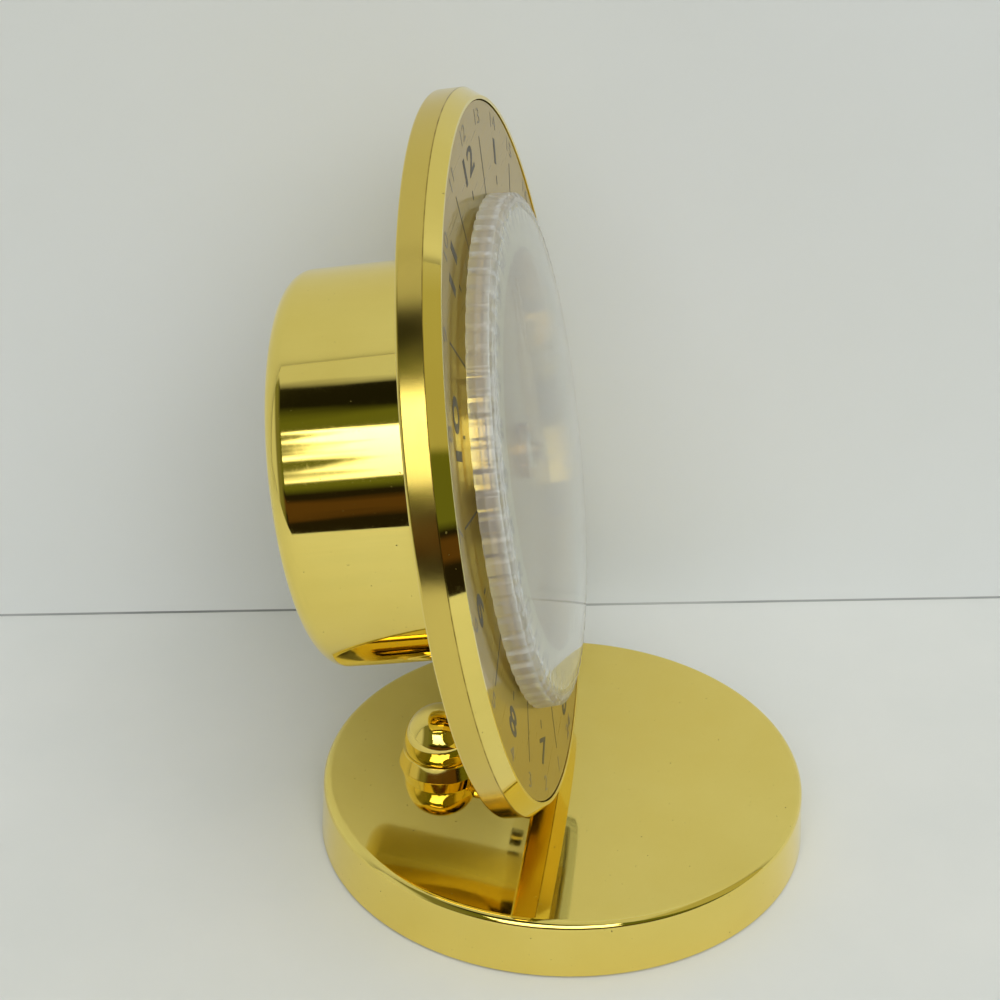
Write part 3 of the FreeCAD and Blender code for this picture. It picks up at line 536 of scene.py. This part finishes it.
# %% Dial plate
DIAL_FRONT = 7.35
DIAL_SHEET = 0.8
DIAL_EDGE = 66.8
DIAL_HOLE = 3.6


def satin_plate(name, colour, paler, across_mm=0.22):
    """Brushed metal with a coloured lacquer, seen as fine straight strokes."""
    material, tree, shader = new_finish(name, Metallic=1.0, Coat_Weight=0.75,
                                        Coat_Roughness=0.05, Specular_Tint="#E6DBB0")
    place = place_in(tree, HEAD)
    stroked = add(tree, "Mapping", place, Scale=(0.012, 1.0, 1.0))
    brush = add(tree, "TexNoise", stroked, per_mm(across_mm), 3.0, 0.6)
    cloud = add(tree, "TexNoise", place, per_mm(18), 2.0, 0.55)
    bright = add(tree, "MapRange", brush, 0.3, 0.7)
    dull = add(tree, "MapRange", cloud, 0.3, 0.8, 0.0, 0.35)
    base = add(tree, "Mix", bright, colour, paler, **COLOURS)
    base = add(tree, "Mix", dull, base, colour, **COLOURS)
    rough = add(tree, "MapRange", brush, 0.25, 0.75, 0.26, 0.4)
    normal = add(tree, "Bump", Height=brush, Distance=0.01 * MM, Strength=0.6)
    fill(tree, shader, Base_Color=base, Roughness=rough, Normal=normal)
    return material


satin = satin_plate("champagne_lacquered_brushed_plate", "#B39642", "#C8AD62")
dial = turned("dial_satin_plate", [
    (DIAL_HOLE, DIAL_FRONT - DIAL_SHEET), (DIAL_EDGE, DIAL_FRONT - DIAL_SHEET),
    (DIAL_EDGE, DIAL_FRONT), (DIAL_HOLE, DIAL_FRONT)], HEAD, columns=320, steps=4)
dial.data.materials.append(satin)
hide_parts("dial_plate")
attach(dial, "head")
report(dial)

# %% [markdown]
# Every mark on the dial is a thin layer of ink that stands on the plate. Screen-printed ink
# is matt and covers a little unevenly, which takes the computer's edge off a plain black.

# %% Ink
INK_MM = 0.025
INK_GAP = 0.004


def ink(name, code, softness=0.45):
    """Screen-printed ink: matt, with slightly uneven cover."""
    material, tree, shader = new_finish(name, Roughness=softness)
    place = add(tree, "TexCoord", output="Object")
    patchy = add(tree, "TexNoise", place, per_mm(0.35), 2.0, 0.55)
    thin = add(tree, "MapRange", patchy, 0.35, 0.75, 0.0, 0.35)
    fill(tree, shader, Base_Color=add(tree, "Mix", thin, code, "#6E6248", **COLOURS),
         Normal=add(tree, "Bump", Height=patchy, Distance=0.004 * MM, Strength=0.5))
    return material


dark_ink = ink("screen_printed_dark_ink", "#3A3428")
grey_ink = ink("screen_printed_grey_ink", "#7A705A")
print("inks", dark_ink.name, grey_ink.name)

# %% [markdown]
# Numerals are Blender text turned to mesh. In the upper half of a dial their tops point
# outwards, in the lower half inwards, so that all of them read upright.

# %% Rings of numbers
CAPITAL_HEIGHT = 0.72


def join_as(name, parts):
    """One object from many, keeping each one's place."""
    bpy.ops.object.select_all(action="DESELECT")
    for part in parts:
        part.select_set(True)
    bpy.context.view_layer.objects.active = parts[0]
    bpy.ops.object.join()
    joined = bpy.context.view_layer.objects.active
    joined.name = name
    joined.data.name = name
    return joined


def lie_on_head(thing, x, y, w, spin):
    """Puts a flat piece on the dial at x, y and height w, turned by spin, into its mesh."""
    local = Matrix.Translation(Vector((x, y, w)) * MM) @ Matrix.Rotation(spin, 4, "Z")
    turn, origin = HEAD
    world = Matrix.Translation(Vector((origin * MM).tolist())) @ Matrix(turn.tolist()).to_4x4()
    thing.data.transform(world @ local)


def number_mesh(name, word, height_mm, bolder):
    """One number as a flat mesh: Blender text, its outline grown by bolder millimetres."""
    curve = bpy.data.curves.new(name + "_text", "FONT")
    curve.body = word
    curve.size = height_mm * MM / CAPITAL_HEIGHT
    curve.align_x = "CENTER"
    curve.align_y = "CENTER"
    curve.extrude = INK_MM * MM / 2
    curve.offset = bolder * MM
    curve.resolution_u = 4
    holder = new_object(name + "_text", curve)
    bpy.context.view_layer.update()
    shaped = holder.evaluated_get(bpy.context.evaluated_depsgraph_get())
    mesh = bpy.data.meshes.new_from_object(shaped)
    bpy.data.objects.remove(holder)
    return mesh


def number_ring(name, words, radius, height_mm, w, material, bolder=0.0, first=30.0,
                upright=True, wide=1.0):
    """Numbers spaced evenly clockwise on a circle, as thin raised ink.

    The angle counts clockwise from the top. With upright, a number in the lower half is
    turned over to read the right way up. The letters are stretched sideways by wide."""
    parts = []
    for index, word in enumerate(words):
        clock = math.radians(first + index * 360.0 / len(words))
        mesh = number_mesh(name, word, height_mm, bolder)
        mesh.transform(Matrix.Diagonal((wide, 1.0, 1.0, 1.0)))
        part = new_object(name, mesh)
        flip = math.pi if upright and math.cos(clock) < -0.1 else 0.0
        lie_on_head(part, radius * math.sin(clock), radius * math.cos(clock), w, flip - clock)
        parts.append(part)
    ring = join_as(name, parts)
    ring.data.materials.clear()
    ring.data.materials.append(material)
    return ring


print("text is", round(1 / CAPITAL_HEIGHT, 2), "times as large as its capitals")

# %% [markdown]
# Ticks and lines are flat bars that point to the dial's centre. One array holds a ring.

# %% Rings of bars
BOX_FACES = np.array([(0, 1, 2, 3), (7, 6, 5, 4), (4, 5, 1, 0), (5, 6, 2, 1), (6, 7, 3, 2),
                      (7, 4, 0, 3)])


def spokes(name, count, first, inner, outer, width, w, material):
    """Flat radial bars: count boxes, each from the inner to the outer radius.

    Corner offsets along and across are the same for all, and a turn about the axis by each
    bar's clock angle places them, worked out for all bars at once."""
    clock = np.radians(first + np.arange(count) * 360.0 / count)
    along = np.array([inner, outer, outer, inner])
    across = np.array([-1, -1, 1, 1]) * width / 2
    x = along * np.sin(clock)[:, None] + across * np.cos(clock)[:, None]
    y = along * np.cos(clock)[:, None] - across * np.sin(clock)[:, None]
    low = np.stack([x, y, np.full_like(x, w)], -1)
    corners = np.concatenate([low, low + [0, 0, INK_MM]], 1).reshape(-1, 3)
    faces = (BOX_FACES[None] + 8 * np.arange(count)[:, None, None]).reshape(-1, 4)
    turn, origin = HEAD
    mesh = bpy.data.meshes.new(name)
    mesh.from_pydata(((corners @ turn.T + origin) * MM).tolist(), [], faces.tolist())
    mesh.materials.append(material)
    return new_object(name, mesh)


print("a bar has", len(BOX_FACES), "faces")

# %% [markdown]
# The print: hour numerals, short ticks inside them, long radial lines between the hours,
# and a ring of twenty-four small numbers at the edge, with noon at the top.

# %% Dial print
hours = [str(k) for k in range(1, 13)]
day_hours = [str(k % 24 + 1) for k in range(12, 36)]
tick_level = DIAL_FRONT + INK_GAP
number_level = tick_level + INK_MM / 2
marks = [
    number_ring("dial_hour_numerals", hours, 57.8, 5.0, number_level, dark_ink, 0.1, wide=2.0),
    number_ring("dial_day_numbers", day_hours, 63.8, 3.0, number_level, grey_ink, -0.02, 15.0,
                wide=1.6),
    spokes("dial_hour_lines", 12, 15.0, 47.2, 60.3, 0.42, tick_level, dark_ink),
    spokes("dial_hour_ticks", 12, 30.0, 51.6, 53.3, 0.6, tick_level, dark_ink),
    spokes("dial_minute_ticks", 60, 6.0, 34.6, 36.4, 0.3, tick_level, dark_ink),
    spokes("dial_hour_batons", 12, 30.0, 29.5, 36.4, 1.1, tick_level, dark_ink),
]
for mark in marks:
    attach(mark, "head")
    report(mark)

# %% [markdown]
# The calendar: a pale printed ring with the days of a month, glued under a step inside the
# clear cap, so that it turns with it.

# %% Date ring
DATE_INNER = 38.5
DATE_OUTER = 46.95
DATE_SHEET = 0.5
CAP_STEP = 10.85
ring_satin = satin_plate("champagne_printed_date_ring", "#D9CCA0", "#E6DCB8", 0.3)
date_ring = turned("date_ring_plate", [
    (DATE_INNER, CAP_STEP - DATE_SHEET), (DATE_OUTER, CAP_STEP - DATE_SHEET),
    (DATE_OUTER, CAP_STEP), (DATE_INNER, CAP_STEP)], HEAD, columns=256, steps=3)
date_ring.data.materials.append(ring_satin)
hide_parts("date_ring")
days = number_ring("date_ring_numbers", [str(k) for k in range(1, 32)], 42.6, 2.9,
                   CAP_STEP + INK_GAP + INK_MM / 2, dark_ink, first=360 / 31, upright=False)
for piece in (date_ring, days):
    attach(piece, "crystal")
    report(piece)

# %% [markdown]
# The cap is one moulding in clear acrylic: a low dome, a stepped shoulder, and a wall with
# seventy-five thin grooves for the fingers. It is a closed wall of real thickness, because
# light bends where it enters and leaves. The depth of the grooves changes with the angle,
# and is taken from the radius of the outer rows only.

# %% Clear cap
FLUTES = 75
FLUTE_COLUMNS = 14
CAP_R = 49.4
CAP_LOW = 7.6
CAP_BORE = 45.9
GUIDE_R = 47.0
GUIDE_TOP = 8.9
SHOULDER = (49.0, 11.75, 0.12)
LEDGE = (48.2, 12.35, 0.12)
DOME_RIM_R = 46.0
WALL_STEPS = 4


def groove_depth(angle, depth=0.4, half_width=0.2):
    """Depth of the finger grooves at an angle: a narrow round dip in each of 75 pitches.

    With u the place within a pitch from -1/2 to 1/2, depth is sqrt(1 - (u / half) squared)
    inside half a groove's width and 0 on the lands between."""
    u = (angle * FLUTES / (2 * math.pi)) % 1.0 - 0.5
    return depth * np.sqrt(np.clip(1 - (u / half_width) ** 2, 0, 1))


def dome(rim_radius, rim_height, top_height, count=16):
    """Arc of a circle from the axis to the rim: height = top - s + sqrt(s s - r r)."""
    rise = top_height - rim_height
    sphere = (rim_radius ** 2 + rise ** 2) / (2 * rise)
    radius = np.linspace(0, rim_radius, count)
    return np.stack([radius, top_height - sphere + np.sqrt(sphere ** 2 - radius ** 2)], 1)


outer_dome = dome(DOME_RIM_R, DIAL_FRONT + 5.3, DIAL_FRONT + 8.2)
inner_dome = dome(CAP_BORE, DIAL_FRONT + 3.5, DIAL_FRONT + 6.4)
wall_outline, _ = rounded([
    tuple(inner_dome[-2]), (CAP_BORE, CAP_STEP, 0.05), (GUIDE_R, CAP_STEP, 0.05),
    (GUIDE_R, GUIDE_TOP, 0.05), (CAP_BORE, GUIDE_TOP, 0.05), (CAP_BORE, CAP_LOW, 0.05),
    (CAP_R, CAP_LOW, 0.15), SHOULDER, LEDGE,
    tuple(outer_dome[-1]), tuple(outer_dome[-2])], WALL_STEPS)
between_domes = wall_outline[WALL_STEPS:-2 * WALL_STEPS]
cap_profile = np.concatenate([inner_dome[:-1], between_domes, outer_dome[::-1]])
cap_angle = full_turn(FLUTES * FLUTE_COLUMNS) + math.pi / (FLUTES * FLUTE_COLUMNS)
grooved = np.clip((cap_profile[:, 0] - 47.4) / 0.9, 0, 1)
grooved[:len(inner_dome)] = 0
cap_radii = cap_profile[:, :1] - grooved[:, None] * groove_depth(cap_angle)
cap = grid_mesh("clear_fluted_cap", revolved(cap_radii, cap_profile[:, 1], cap_angle), HEAD,
                closed_profile=False)
report(cap)

# %% [markdown]
# Clear acrylic, moulded: index 1.49, nearly perfect gloss, with a trace of haze and fine
# wiping marks. The fluted wall is rubbed by fingers and scatters light inside, so it looks
# milky: some of its light goes through white scattering. Real acrylic lets daylight through
# to the dial, but a path tracer finds that light only by chance, so shadow rays see the cap
# as plainly see-through, and its image in the mirror gold is nearly clear.

# %% Clear acrylic
def clear_moulding(name):
    """Polished clear plastic with faint flow lines from the mould."""
    material, tree, shader = new_finish(name, Transmission_Weight=1.0, IOR=1.49,
                                        Base_Color="#F7F8F6")
    place = place_in(tree, HEAD)
    wiped = add(tree, "TexNoise", place, per_mm(6), 5.0, 0.65)
    flow = add(tree, "TexNoise", place, per_mm(5), 2.0, 0.55)
    fill(tree, shader, Roughness=add(tree, "MapRange", wiped, 0.3, 0.8, 0.02, 0.09),
         Normal=add(tree, "Bump", Height=flow, Distance=0.006 * MM, Strength=1.0))
    # a tenth of the dome's light scatters in it, and three tenths of the fluted wall's
    milky = add(tree, "MapRange", from_axis(tree, place), 46.0 * MM, 47.2 * MM, 0.1, 0.3)
    white = add(tree, "BsdfDiffuse", "#E9E6E6")
    through = add(tree, "BsdfTranslucent", "#ECE8E8")
    milk = add(tree, "MixShader", 0.5, white, through)
    body = add(tree, "MixShader", milky, shader.outputs[0], milk)
    # a ray that was mirrored, and isn't on its way through the plastic itself
    glossy, inside, shadow = (add(tree, "LightPath", output=f"Is {ray} Ray")
                              for ray in ("Glossy", "Transmission", "Shadow"))
    mirrored = add(tree, "Math", glossy, inside, operation="SUBTRACT", use_clamp=True)
    unseen = add(tree, "Math", mirrored, 0.85, shadow, operation="MULTIPLY_ADD")
    clear = add(tree, "BsdfTransparent", "#EDEFEC")
    surface = add(tree, "MixShader", unseen, body, clear)
    fill(tree, tree.nodes["Material Output"], Surface=surface)
    return material


cap.data.materials.append(clear_moulding("clear_moulded_acrylic"))
cap.data.set_sharp_from_angle(angle=math.radians(38))
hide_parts("crystal_cap")
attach(cap, "crystal")
print("cap's material", cap.data.materials[0].name)

# %% [markdown]
# The rest keeps its engineered shape and gets the finish of what it is made of. Moulded
# plastic has the grain of a spark-eroded mould, which softens its shine without hiding it.

# %% Moulded plastic
def moulded(name, code, grain_mm=0.25, rough=0.42, depth_mm=0.012):
    """Injection-moulded plastic with the fine grain of an eroded mould."""
    material, tree, shader = new_finish(name)
    place = add(tree, "TexCoord", output="Object")
    grain = add(tree, "TexNoise", place, per_mm(grain_mm), 2.0, 0.55)
    cloud = add(tree, "TexNoise", place, per_mm(8), 2.0, 0.55)
    dusty = add(tree, "MapRange", cloud, 0.3, 0.8, 0.0, 0.12)
    fill(tree, shader, Base_Color=add(tree, "Mix", dusty, code, "#8C8880", **COLOURS),
         Roughness=add(tree, "MapRange", grain, 0.3, 0.7, rough, rough + 0.12),
         Normal=add(tree, "Bump", Height=grain, Distance=depth_mm * MM, Strength=0.6))
    return material


black_plastic = moulded("black_moulded_abs", "#1B1B1C")
print("plastic", black_plastic.name)

# %% [markdown]
# Bare and plated metal shows the fine lines of its last machining, here along z, and
# clouds where the plating or the polish is a little thinner.

# %% Worked metal
def worked_metal(name, code, darker, rough=0.25, grain_mm=0.3):
    """Bare or plated metal with the fine lines of its last machining."""
    material, tree, shader = new_finish(name, Metallic=1.0)
    place = add(tree, "TexCoord", output="Object")
    lined = add(tree, "Mapping", place, Scale=(1.0, 1.0, 12.0))
    grain = add(tree, "TexNoise", lined, per_mm(grain_mm * 3), 4.0, 0.55)
    cloud = add(tree, "TexNoise", place, per_mm(3), 3.0, 0.55)
    thin = add(tree, "MapRange", cloud, 0.35, 0.75)
    fill(tree, shader, Base_Color=add(tree, "Mix", thin, code, darker, **COLOURS),
         Roughness=add(tree, "MapRange", grain, 0.3, 0.7, rough, rough + 0.15),
         Normal=add(tree, "Bump", Height=grain, Distance=0.006 * MM, Strength=0.5))
    return material


zinc_steel = worked_metal("zinc_plated_steel", "#C9CCD0", "#A9ADB2")
print("metal", zinc_steel.name)

# %% [markdown]
# Two soft or wound things: felt is matted fibre with a sheen at grazing angles, and a coil
# is enamelled wire laid in close turns, which a wave texture draws across its length.

# %% Felt and wire
WIRE_TURN = 0.6
WAVE_PERIOD = 0.314


def felted(name, code):
    """Pressed wool felt: matted fibres with a soft sheen."""
    material, tree, shader = new_finish(name, Roughness=0.95, Sheen_Weight=0.4,
                                        Sheen_Roughness=0.5)
    place = add(tree, "TexCoord", output="Object")
    fibres = add(tree, "TexNoise", place, per_mm(0.4), 6.0, 0.75)
    worn = add(tree, "MapRange", fibres, 0.35, 0.7)
    fill(tree, shader, Base_Color=add(tree, "Mix", worn, code, "#3C6B50", **COLOURS),
         Normal=add(tree, "Bump", Height=fibres, Distance=0.15 * MM, Strength=0.8))
    return material


def wound_wire(name, code):
    """Enamelled wire in close turns, drawn twice as coarse as its 0.3 mm, so that it shows.

    At scale 1 the wave texture repeats every 0.314 metres, a tenth of pi."""
    material, tree, shader = new_finish(name, Metallic=0.9, Roughness=0.3)
    turns = add(tree, "TexWave", place_in(tree, HEAD), WAVE_PERIOD * per_mm(WIRE_TURN),
                output="Fac", bands_direction="Y", wave_profile="SIN")
    fill(tree, shader, Base_Color=add(tree, "Mix", turns, code, "#8A4A22", **COLOURS),
         Normal=add(tree, "Bump", Height=turns, Distance=0.1 * MM, Strength=0.8))
    return material


felt = felted("pressed_wool_felt", "#1E4632")
copper = wound_wire("enamelled_copper_winding", "#C97A45")
print("felt and wire", felt.name, copper.name)

# %% [markdown]
# Each engineered node takes the finish of its slot in the record, so a piece that shares a
# material shares its look. Slots whose pieces were all redrawn above keep no recipe here.

# %% Finishes of the carried-over nodes
finishes = {
    "green_felt": felt,
    "cast_weight": worked_metal("blackened_turned_iron", "#4A4A4C", "#2E2E30", 0.45, 0.6),
    "zinc_steel": zinc_steel,
    "turned_gold": gold_ball,
    "brass_gear": worked_metal("stamped_brass", "#D9B765", "#B9924A"),
    "nylon": moulded("natural_nylon", "#E4DFCF", 0.4, 0.38),
    "black_plastic": black_plastic,
    "white_plastic": moulded("natural_white_acetal", "#E8E6DD", 0.3, 0.35),
    "hand_gold": worked_metal("gold_plated_stamped_brass", "#EBD27E", "#D8BC66", 0.16),
    "battery_jacket": moulded("plain_foil_battery_jacket", "#2B3036", 0.5, 0.25, 0.004),
    "circuit_board": moulded("green_solder_mask_laminate", "#1E5A34", 0.5, 0.3, 0.006),
    "copper_winding": copper,
}
slot_of = {entry["node"]: entry["material_slot"] for entry in frame["record"]["subparts"]}
dressed = []
for node, thing in nodes.items():
    finish = finishes.get(slot_of[node])
    if finish is not None:
        thing.data.materials.clear()
        thing.data.materials.append(finish)
        dressed.append(node)
print("dressed nodes", len(dressed), "others", sorted(set(nodes) - set(dressed)))

# %% [markdown]
# The camera looks down a little on the clock from its left side, through a long lens, so
# that round shapes stay calm, and is rolled by a little less than a degree. Its place is
# in millimetres, and the lens's length is in pixels of the 1000 pixel view.

# %% Camera
VIEW = 1000.0
SENSOR = 36.0
LENS_PIXELS = 2288.0
CAMERA_PLACE = Vector((-383.53, -29.46, 294.97)) * MM
CAMERA_AHEAD = Vector((0.86387, 0.09752, -0.49418))
CAMERA_ROLL = 0.0144
UP = Vector((0, 0, 1))

camera_data = bpy.data.cameras.new("camera")
camera_data.sensor_width = SENSOR
camera_data.lens = LENS_PIXELS * SENSOR / VIEW
camera_data.clip_start = 0.01
camera_data.clip_end = 30.0
camera = new_object("camera", camera_data)
ahead = CAMERA_AHEAD.normalized()
level_right = ahead.cross(UP).normalized()
level_up = level_right.cross(ahead)
right = level_right * math.cos(CAMERA_ROLL) + level_up * math.sin(CAMERA_ROLL)
up = right.cross(ahead)
pose = Matrix((right, up, -ahead)).transposed().to_4x4()
pose.translation = CAMERA_PLACE
camera.matrix_world = pose
bpy.context.scene.camera = camera
print("camera right", tuple(round(v, 3) for v in right), "lens", round(camera_data.lens, 2))

# %% [markdown]
# The stage: a pale table that meets a pale wall, as plain matt surfaces, with a thin
# grey strip of painted shade for the dark gap where they meet. The line is where the view
# shows it, so its ends are given in pixels and carried down the camera's rays onto the
# table. From behind, wall and line are see-through, so that the clock's back can be
# looked at. None of it is part of the clock.

# %% Matt paint
def painted(name, code, grain_mm, one_sided=False):
    """Matt painted board or paper with a barely visible mottle.

    A one-sided board is see-through from behind."""
    material, tree, shader = new_finish(name, Roughness=0.85)
    place = add(tree, "TexCoord", output="Object")
    cloud = add(tree, "TexNoise", place, per_mm(grain_mm), 4.0, 0.55)
    mottle = add(tree, "MapRange", cloud, 0.3, 0.7, 0.0, 0.5)
    tooth = add(tree, "TexNoise", place, per_mm(1.2), 4.0, 0.55)
    fill(tree, shader, Base_Color=add(tree, "Mix", mottle, code, "#CED2D3", **COLOURS),
         Normal=add(tree, "Bump", Height=tooth, Distance=0.03 * MM, Strength=0.4))
    if one_sided:
        behind = add(tree, "NewGeometry", output="Backfacing")
        clear = add(tree, "BsdfTransparent")
        surface = add(tree, "MixShader", behind, shader.outputs[0], clear)
        fill(tree, tree.nodes["Material Output"], Surface=surface)
    return material


pale_table = painted("matt_pale_table", "#D8DADA", 40)
pale_wall = painted("matt_pale_wall", "#D2D6D9", 60, one_sided=True)
# the grey of the shade in the gap between table and wall, painted on a strip
shadow_gap = painted("shadow_gap_at_the_wall", "#7A7E80", 60, one_sided=True)
print("stage paints", pale_table.name, pale_wall.name)

# %% Table and wall
WALL_LINE = ((0, 616), (VIEW, 598))
REACH = 4.0
TABLE_DEPTH = 0.56
WALL_HEIGHT = UP * 1.6
GAP_HEIGHT = UP * 0.0006
GAP_AHEAD = 0.0001


def plane_piece(name, corners, material):
    """One flat quadrilateral of the stage."""
    mesh = bpy.data.meshes.new(name)
    mesh.from_pydata([tuple(corner) for corner in corners], [], [(0, 1, 2, 3)])
    mesh.materials.append(material)
    thing = new_object(name, mesh)
    return thing


def table_point(pixel_x, pixel_y):
    """Where the ray through a point of the 1000 x 1000 view meets the table top."""
    ray = ahead * LENS_PIXELS + right * (pixel_x - VIEW / 2) - up * (pixel_y - VIEW / 2)
    return CAMERA_PLACE - ray * (CAMERA_PLACE.z / ray.z)


line_start, line_end = (table_point(*pixel) for pixel in WALL_LINE)
edge = (line_end - line_start).normalized()
middle = (line_start + line_end) / 2
near = edge.cross(UP)
near *= -math.copysign(1.0, near.x)
wall_low = [middle - edge * REACH, middle + edge * REACH]
gap_low = [corner + near * GAP_AHEAD for corner in wall_low]
table = plane_piece("stage_table", [
    wall_low[0] - near * REACH, wall_low[1] - near * REACH,
    wall_low[1] + near * TABLE_DEPTH, wall_low[0] + near * TABLE_DEPTH], pale_table)
wall = plane_piece("stage_wall", [*wall_low, wall_low[1] + WALL_HEIGHT,
                                  wall_low[0] + WALL_HEIGHT], pale_wall)
# a thin strip of painted shade, where the gap between table and wall is dark
plane_piece("stage_painted_gap_shade", [*gap_low, gap_low[1] + GAP_HEIGHT, gap_low[0] + GAP_HEIGHT],
            shadow_gap)
print("wall faces", tuple(round(v, 3) for v in wall.data.polygons[0].normal),
      "table faces", tuple(round(v, 3) for v in table.data.polygons[0].normal))

# %% [markdown]
# Light. Mirror gold shows the room more than itself, so the room matters: pale all round,
# with a bright window behind the camera and a darker stretch of room about it. The world
# paints that by direction. lift is the angle up from level, seen towards the camera's
# side, and aside is how far a direction points to the back of the clock. Two noises push
# the edges about, because a real room has nothing straight in it.

# %% Directions in the room
world = bpy.data.worlds.new("pale_room")
bpy.context.scene.world = world
world.use_nodes = True
room = world.node_tree
room.nodes.clear()
direction = add(room, "TexCoord", output="Generated")
east, aside, height = (add(room, "SeparateXYZ", direction, output=axis) for axis in range(3))
west = add(room, "Math", east, -1.0, operation="MULTIPLY")
lift = add(room, "Math", height, west, operation="ARCTAN2")
lumps = add(room, "TexNoise", direction, 5.0, 3.0)
lump = add(room, "MapRange", lumps, 0.3, 0.7, -0.06, 0.06)
ripples = add(room, "TexNoise", direction, 8.0, 2.0)
ripple = add(room, "MapRange", ripples, 0.3, 0.7, -0.035, 0.035)
lumpy_lift = add(room, "Math", lift, lump, operation="ADD")
rippled_lift = add(room, "Math", lift, ripple, operation="ADD")
rippled_aside = add(room, "Math", aside, ripple, operation="ADD")
print("directions", len(room.nodes), "nodes")

# %% [markdown]
# The window and the dark zone are rectangles in lift and aside, whose edges may run
# aslant. Each is a band of one times a band of the other.

# %% Window and dark zone
WINDOW_LIFT = (math.radians(17), math.radians(46), 0.015)
WINDOW_ASIDE = (-0.52, 0.295, 0.012)
DARK_LIFT = (math.radians(-60), math.radians(64), 0.04)
DARK_ASIDE = (-1.1, 0.8, 0.05)


def band(value, low, high, soft):
    """1 between low and high, 0 outside, with edges softened over soft."""
    rise = add(room, "MapRange", value, low - soft, low + soft)
    fall = add(room, "MapRange", value, high - soft, high + soft, 1.0, 0.0)
    return add(room, "Math", rise, fall, operation="MULTIPLY")


def sloped(value, slope, across):
    """A value plus slope times another, for an edge that runs aslant."""
    return add(room, "Math", across, slope, value, operation="MULTIPLY_ADD")


window = add(room, "Math", band(rippled_lift, *WINDOW_LIFT),
             band(sloped(rippled_aside, -0.1, lift), *WINDOW_ASIDE), operation="MULTIPLY")
dark_zone = add(room, "Math", band(sloped(lumpy_lift, -0.48, aside), *DARK_LIFT),
                band(aside, *DARK_ASIDE), operation="MULTIPLY")
print("window from", round(math.degrees(WINDOW_LIFT[0])), "to",
      round(math.degrees(WINDOW_LIFT[1])), "degrees up")

# %% [markdown]
# The dark zone has a tone for each thing in a room: olive above the window that turns
# nearly black, dark floor below it with a strip of brown wood at table height, and a
# greyer green towards the clock's back. Outside the zone the room is pale.

# %% Tones of the room
olive_to_black = add(room, "MapRange", lumpy_lift, math.radians(54), math.radians(60))
upper_tone = add(room, "Mix", olive_to_black, "#62682C", "#1B1A10", **COLOURS)
far_front = add(room, "MapRange", aside, -0.66, -0.74)
upper_tone = add(room, "Mix", far_front, upper_tone, "#62682C", **COLOURS)
wood = band(lumpy_lift, math.radians(-1), math.radians(8), 0.03)
lower_tone = add(room, "Mix", wood, "#211C12", "#553C1E", **COLOURS)
above = add(room, "MapRange", lift, math.radians(11), math.radians(15))
dark_tone = add(room, "Mix", above, lower_tone, upper_tone, **COLOURS)
to_back = add(room, "MapRange", aside, 0.42, 0.6)
dark_tone = add(room, "Mix", to_back, dark_tone, "#757650", **COLOURS)
to_front = add(room, "MapRange", aside, -0.5, -0.6)
pale_tone = add(room, "Mix", to_front, "#C9CCC6", "#B0AD80", **COLOURS)
room_tone = add(room, "Mix", dark_zone, pale_tone, dark_tone, **COLOURS)
print("tones", len(room.nodes), "nodes so far")

# %% [markdown]
# The window glares more towards its top. What the camera sees beyond the stage, straight or
# through the clear cap, is a plain pale backdrop. Mirrored rays are left out of that on
# purpose: gold that mirrored an even backdrop would look like yellow paint.

# %% What each ray sees
glare = add(room, "MapRange", lift, math.radians(18), math.radians(46), 2.0, 4.2)
dim = add(room, "Background", room_tone, 1.0)
bright = add(room, "Background", "#FFFDF6", glare)
lit_room = add(room, "MixShader", window, dim, bright)
backdrop = add(room, "Background", "#D2D6D1", 1.0)
camera_ray, through_ray = (add(room, "LightPath", output=f"Is {ray} Ray")
                           for ray in ("Camera", "Transmission"))
seen = add(room, "Math", camera_ray, through_ray, operation="MAXIMUM")
surface = add(room, "MixShader", seen, lit_room, backdrop)
fill(room, room.nodes.new("ShaderNodeOutputWorld"), Surface=surface)
print("world", world.name, "with", len(room.nodes), "nodes")

# %% [markdown]
# One large lamp above the camera's side gives the table its soft shadows. The gold doesn't
# show it, because the window is already the bright patch that it would be.

# %% Softbox
SOFTBOX_PLACE = Vector((-0.75, -0.35, 1.05))
SOFTBOX_AIM = Vector((0.75, 0.35, -1.0))
SOFTBOX_SIDE = 1.0
SOFTBOX_WATTS = 8.5
softbox_data = bpy.data.lights.new("softbox", "AREA")
softbox_data.size = SOFTBOX_SIDE
softbox_data.energy = SOFTBOX_WATTS
softbox = new_object("softbox", softbox_data)
softbox.location = SOFTBOX_PLACE
softbox.rotation_euler = SOFTBOX_AIM.to_track_quat("-Z", "Y").to_euler()
softbox.visible_glossy = False
print("softbox", SOFTBOX_SIDE, "m wide,", SOFTBOX_WATTS, "W")

# %% [markdown]
# The Standard view shows a colour about as it is written.

# %% View settings
bpy.context.scene.view_settings.view_transform = "Standard"
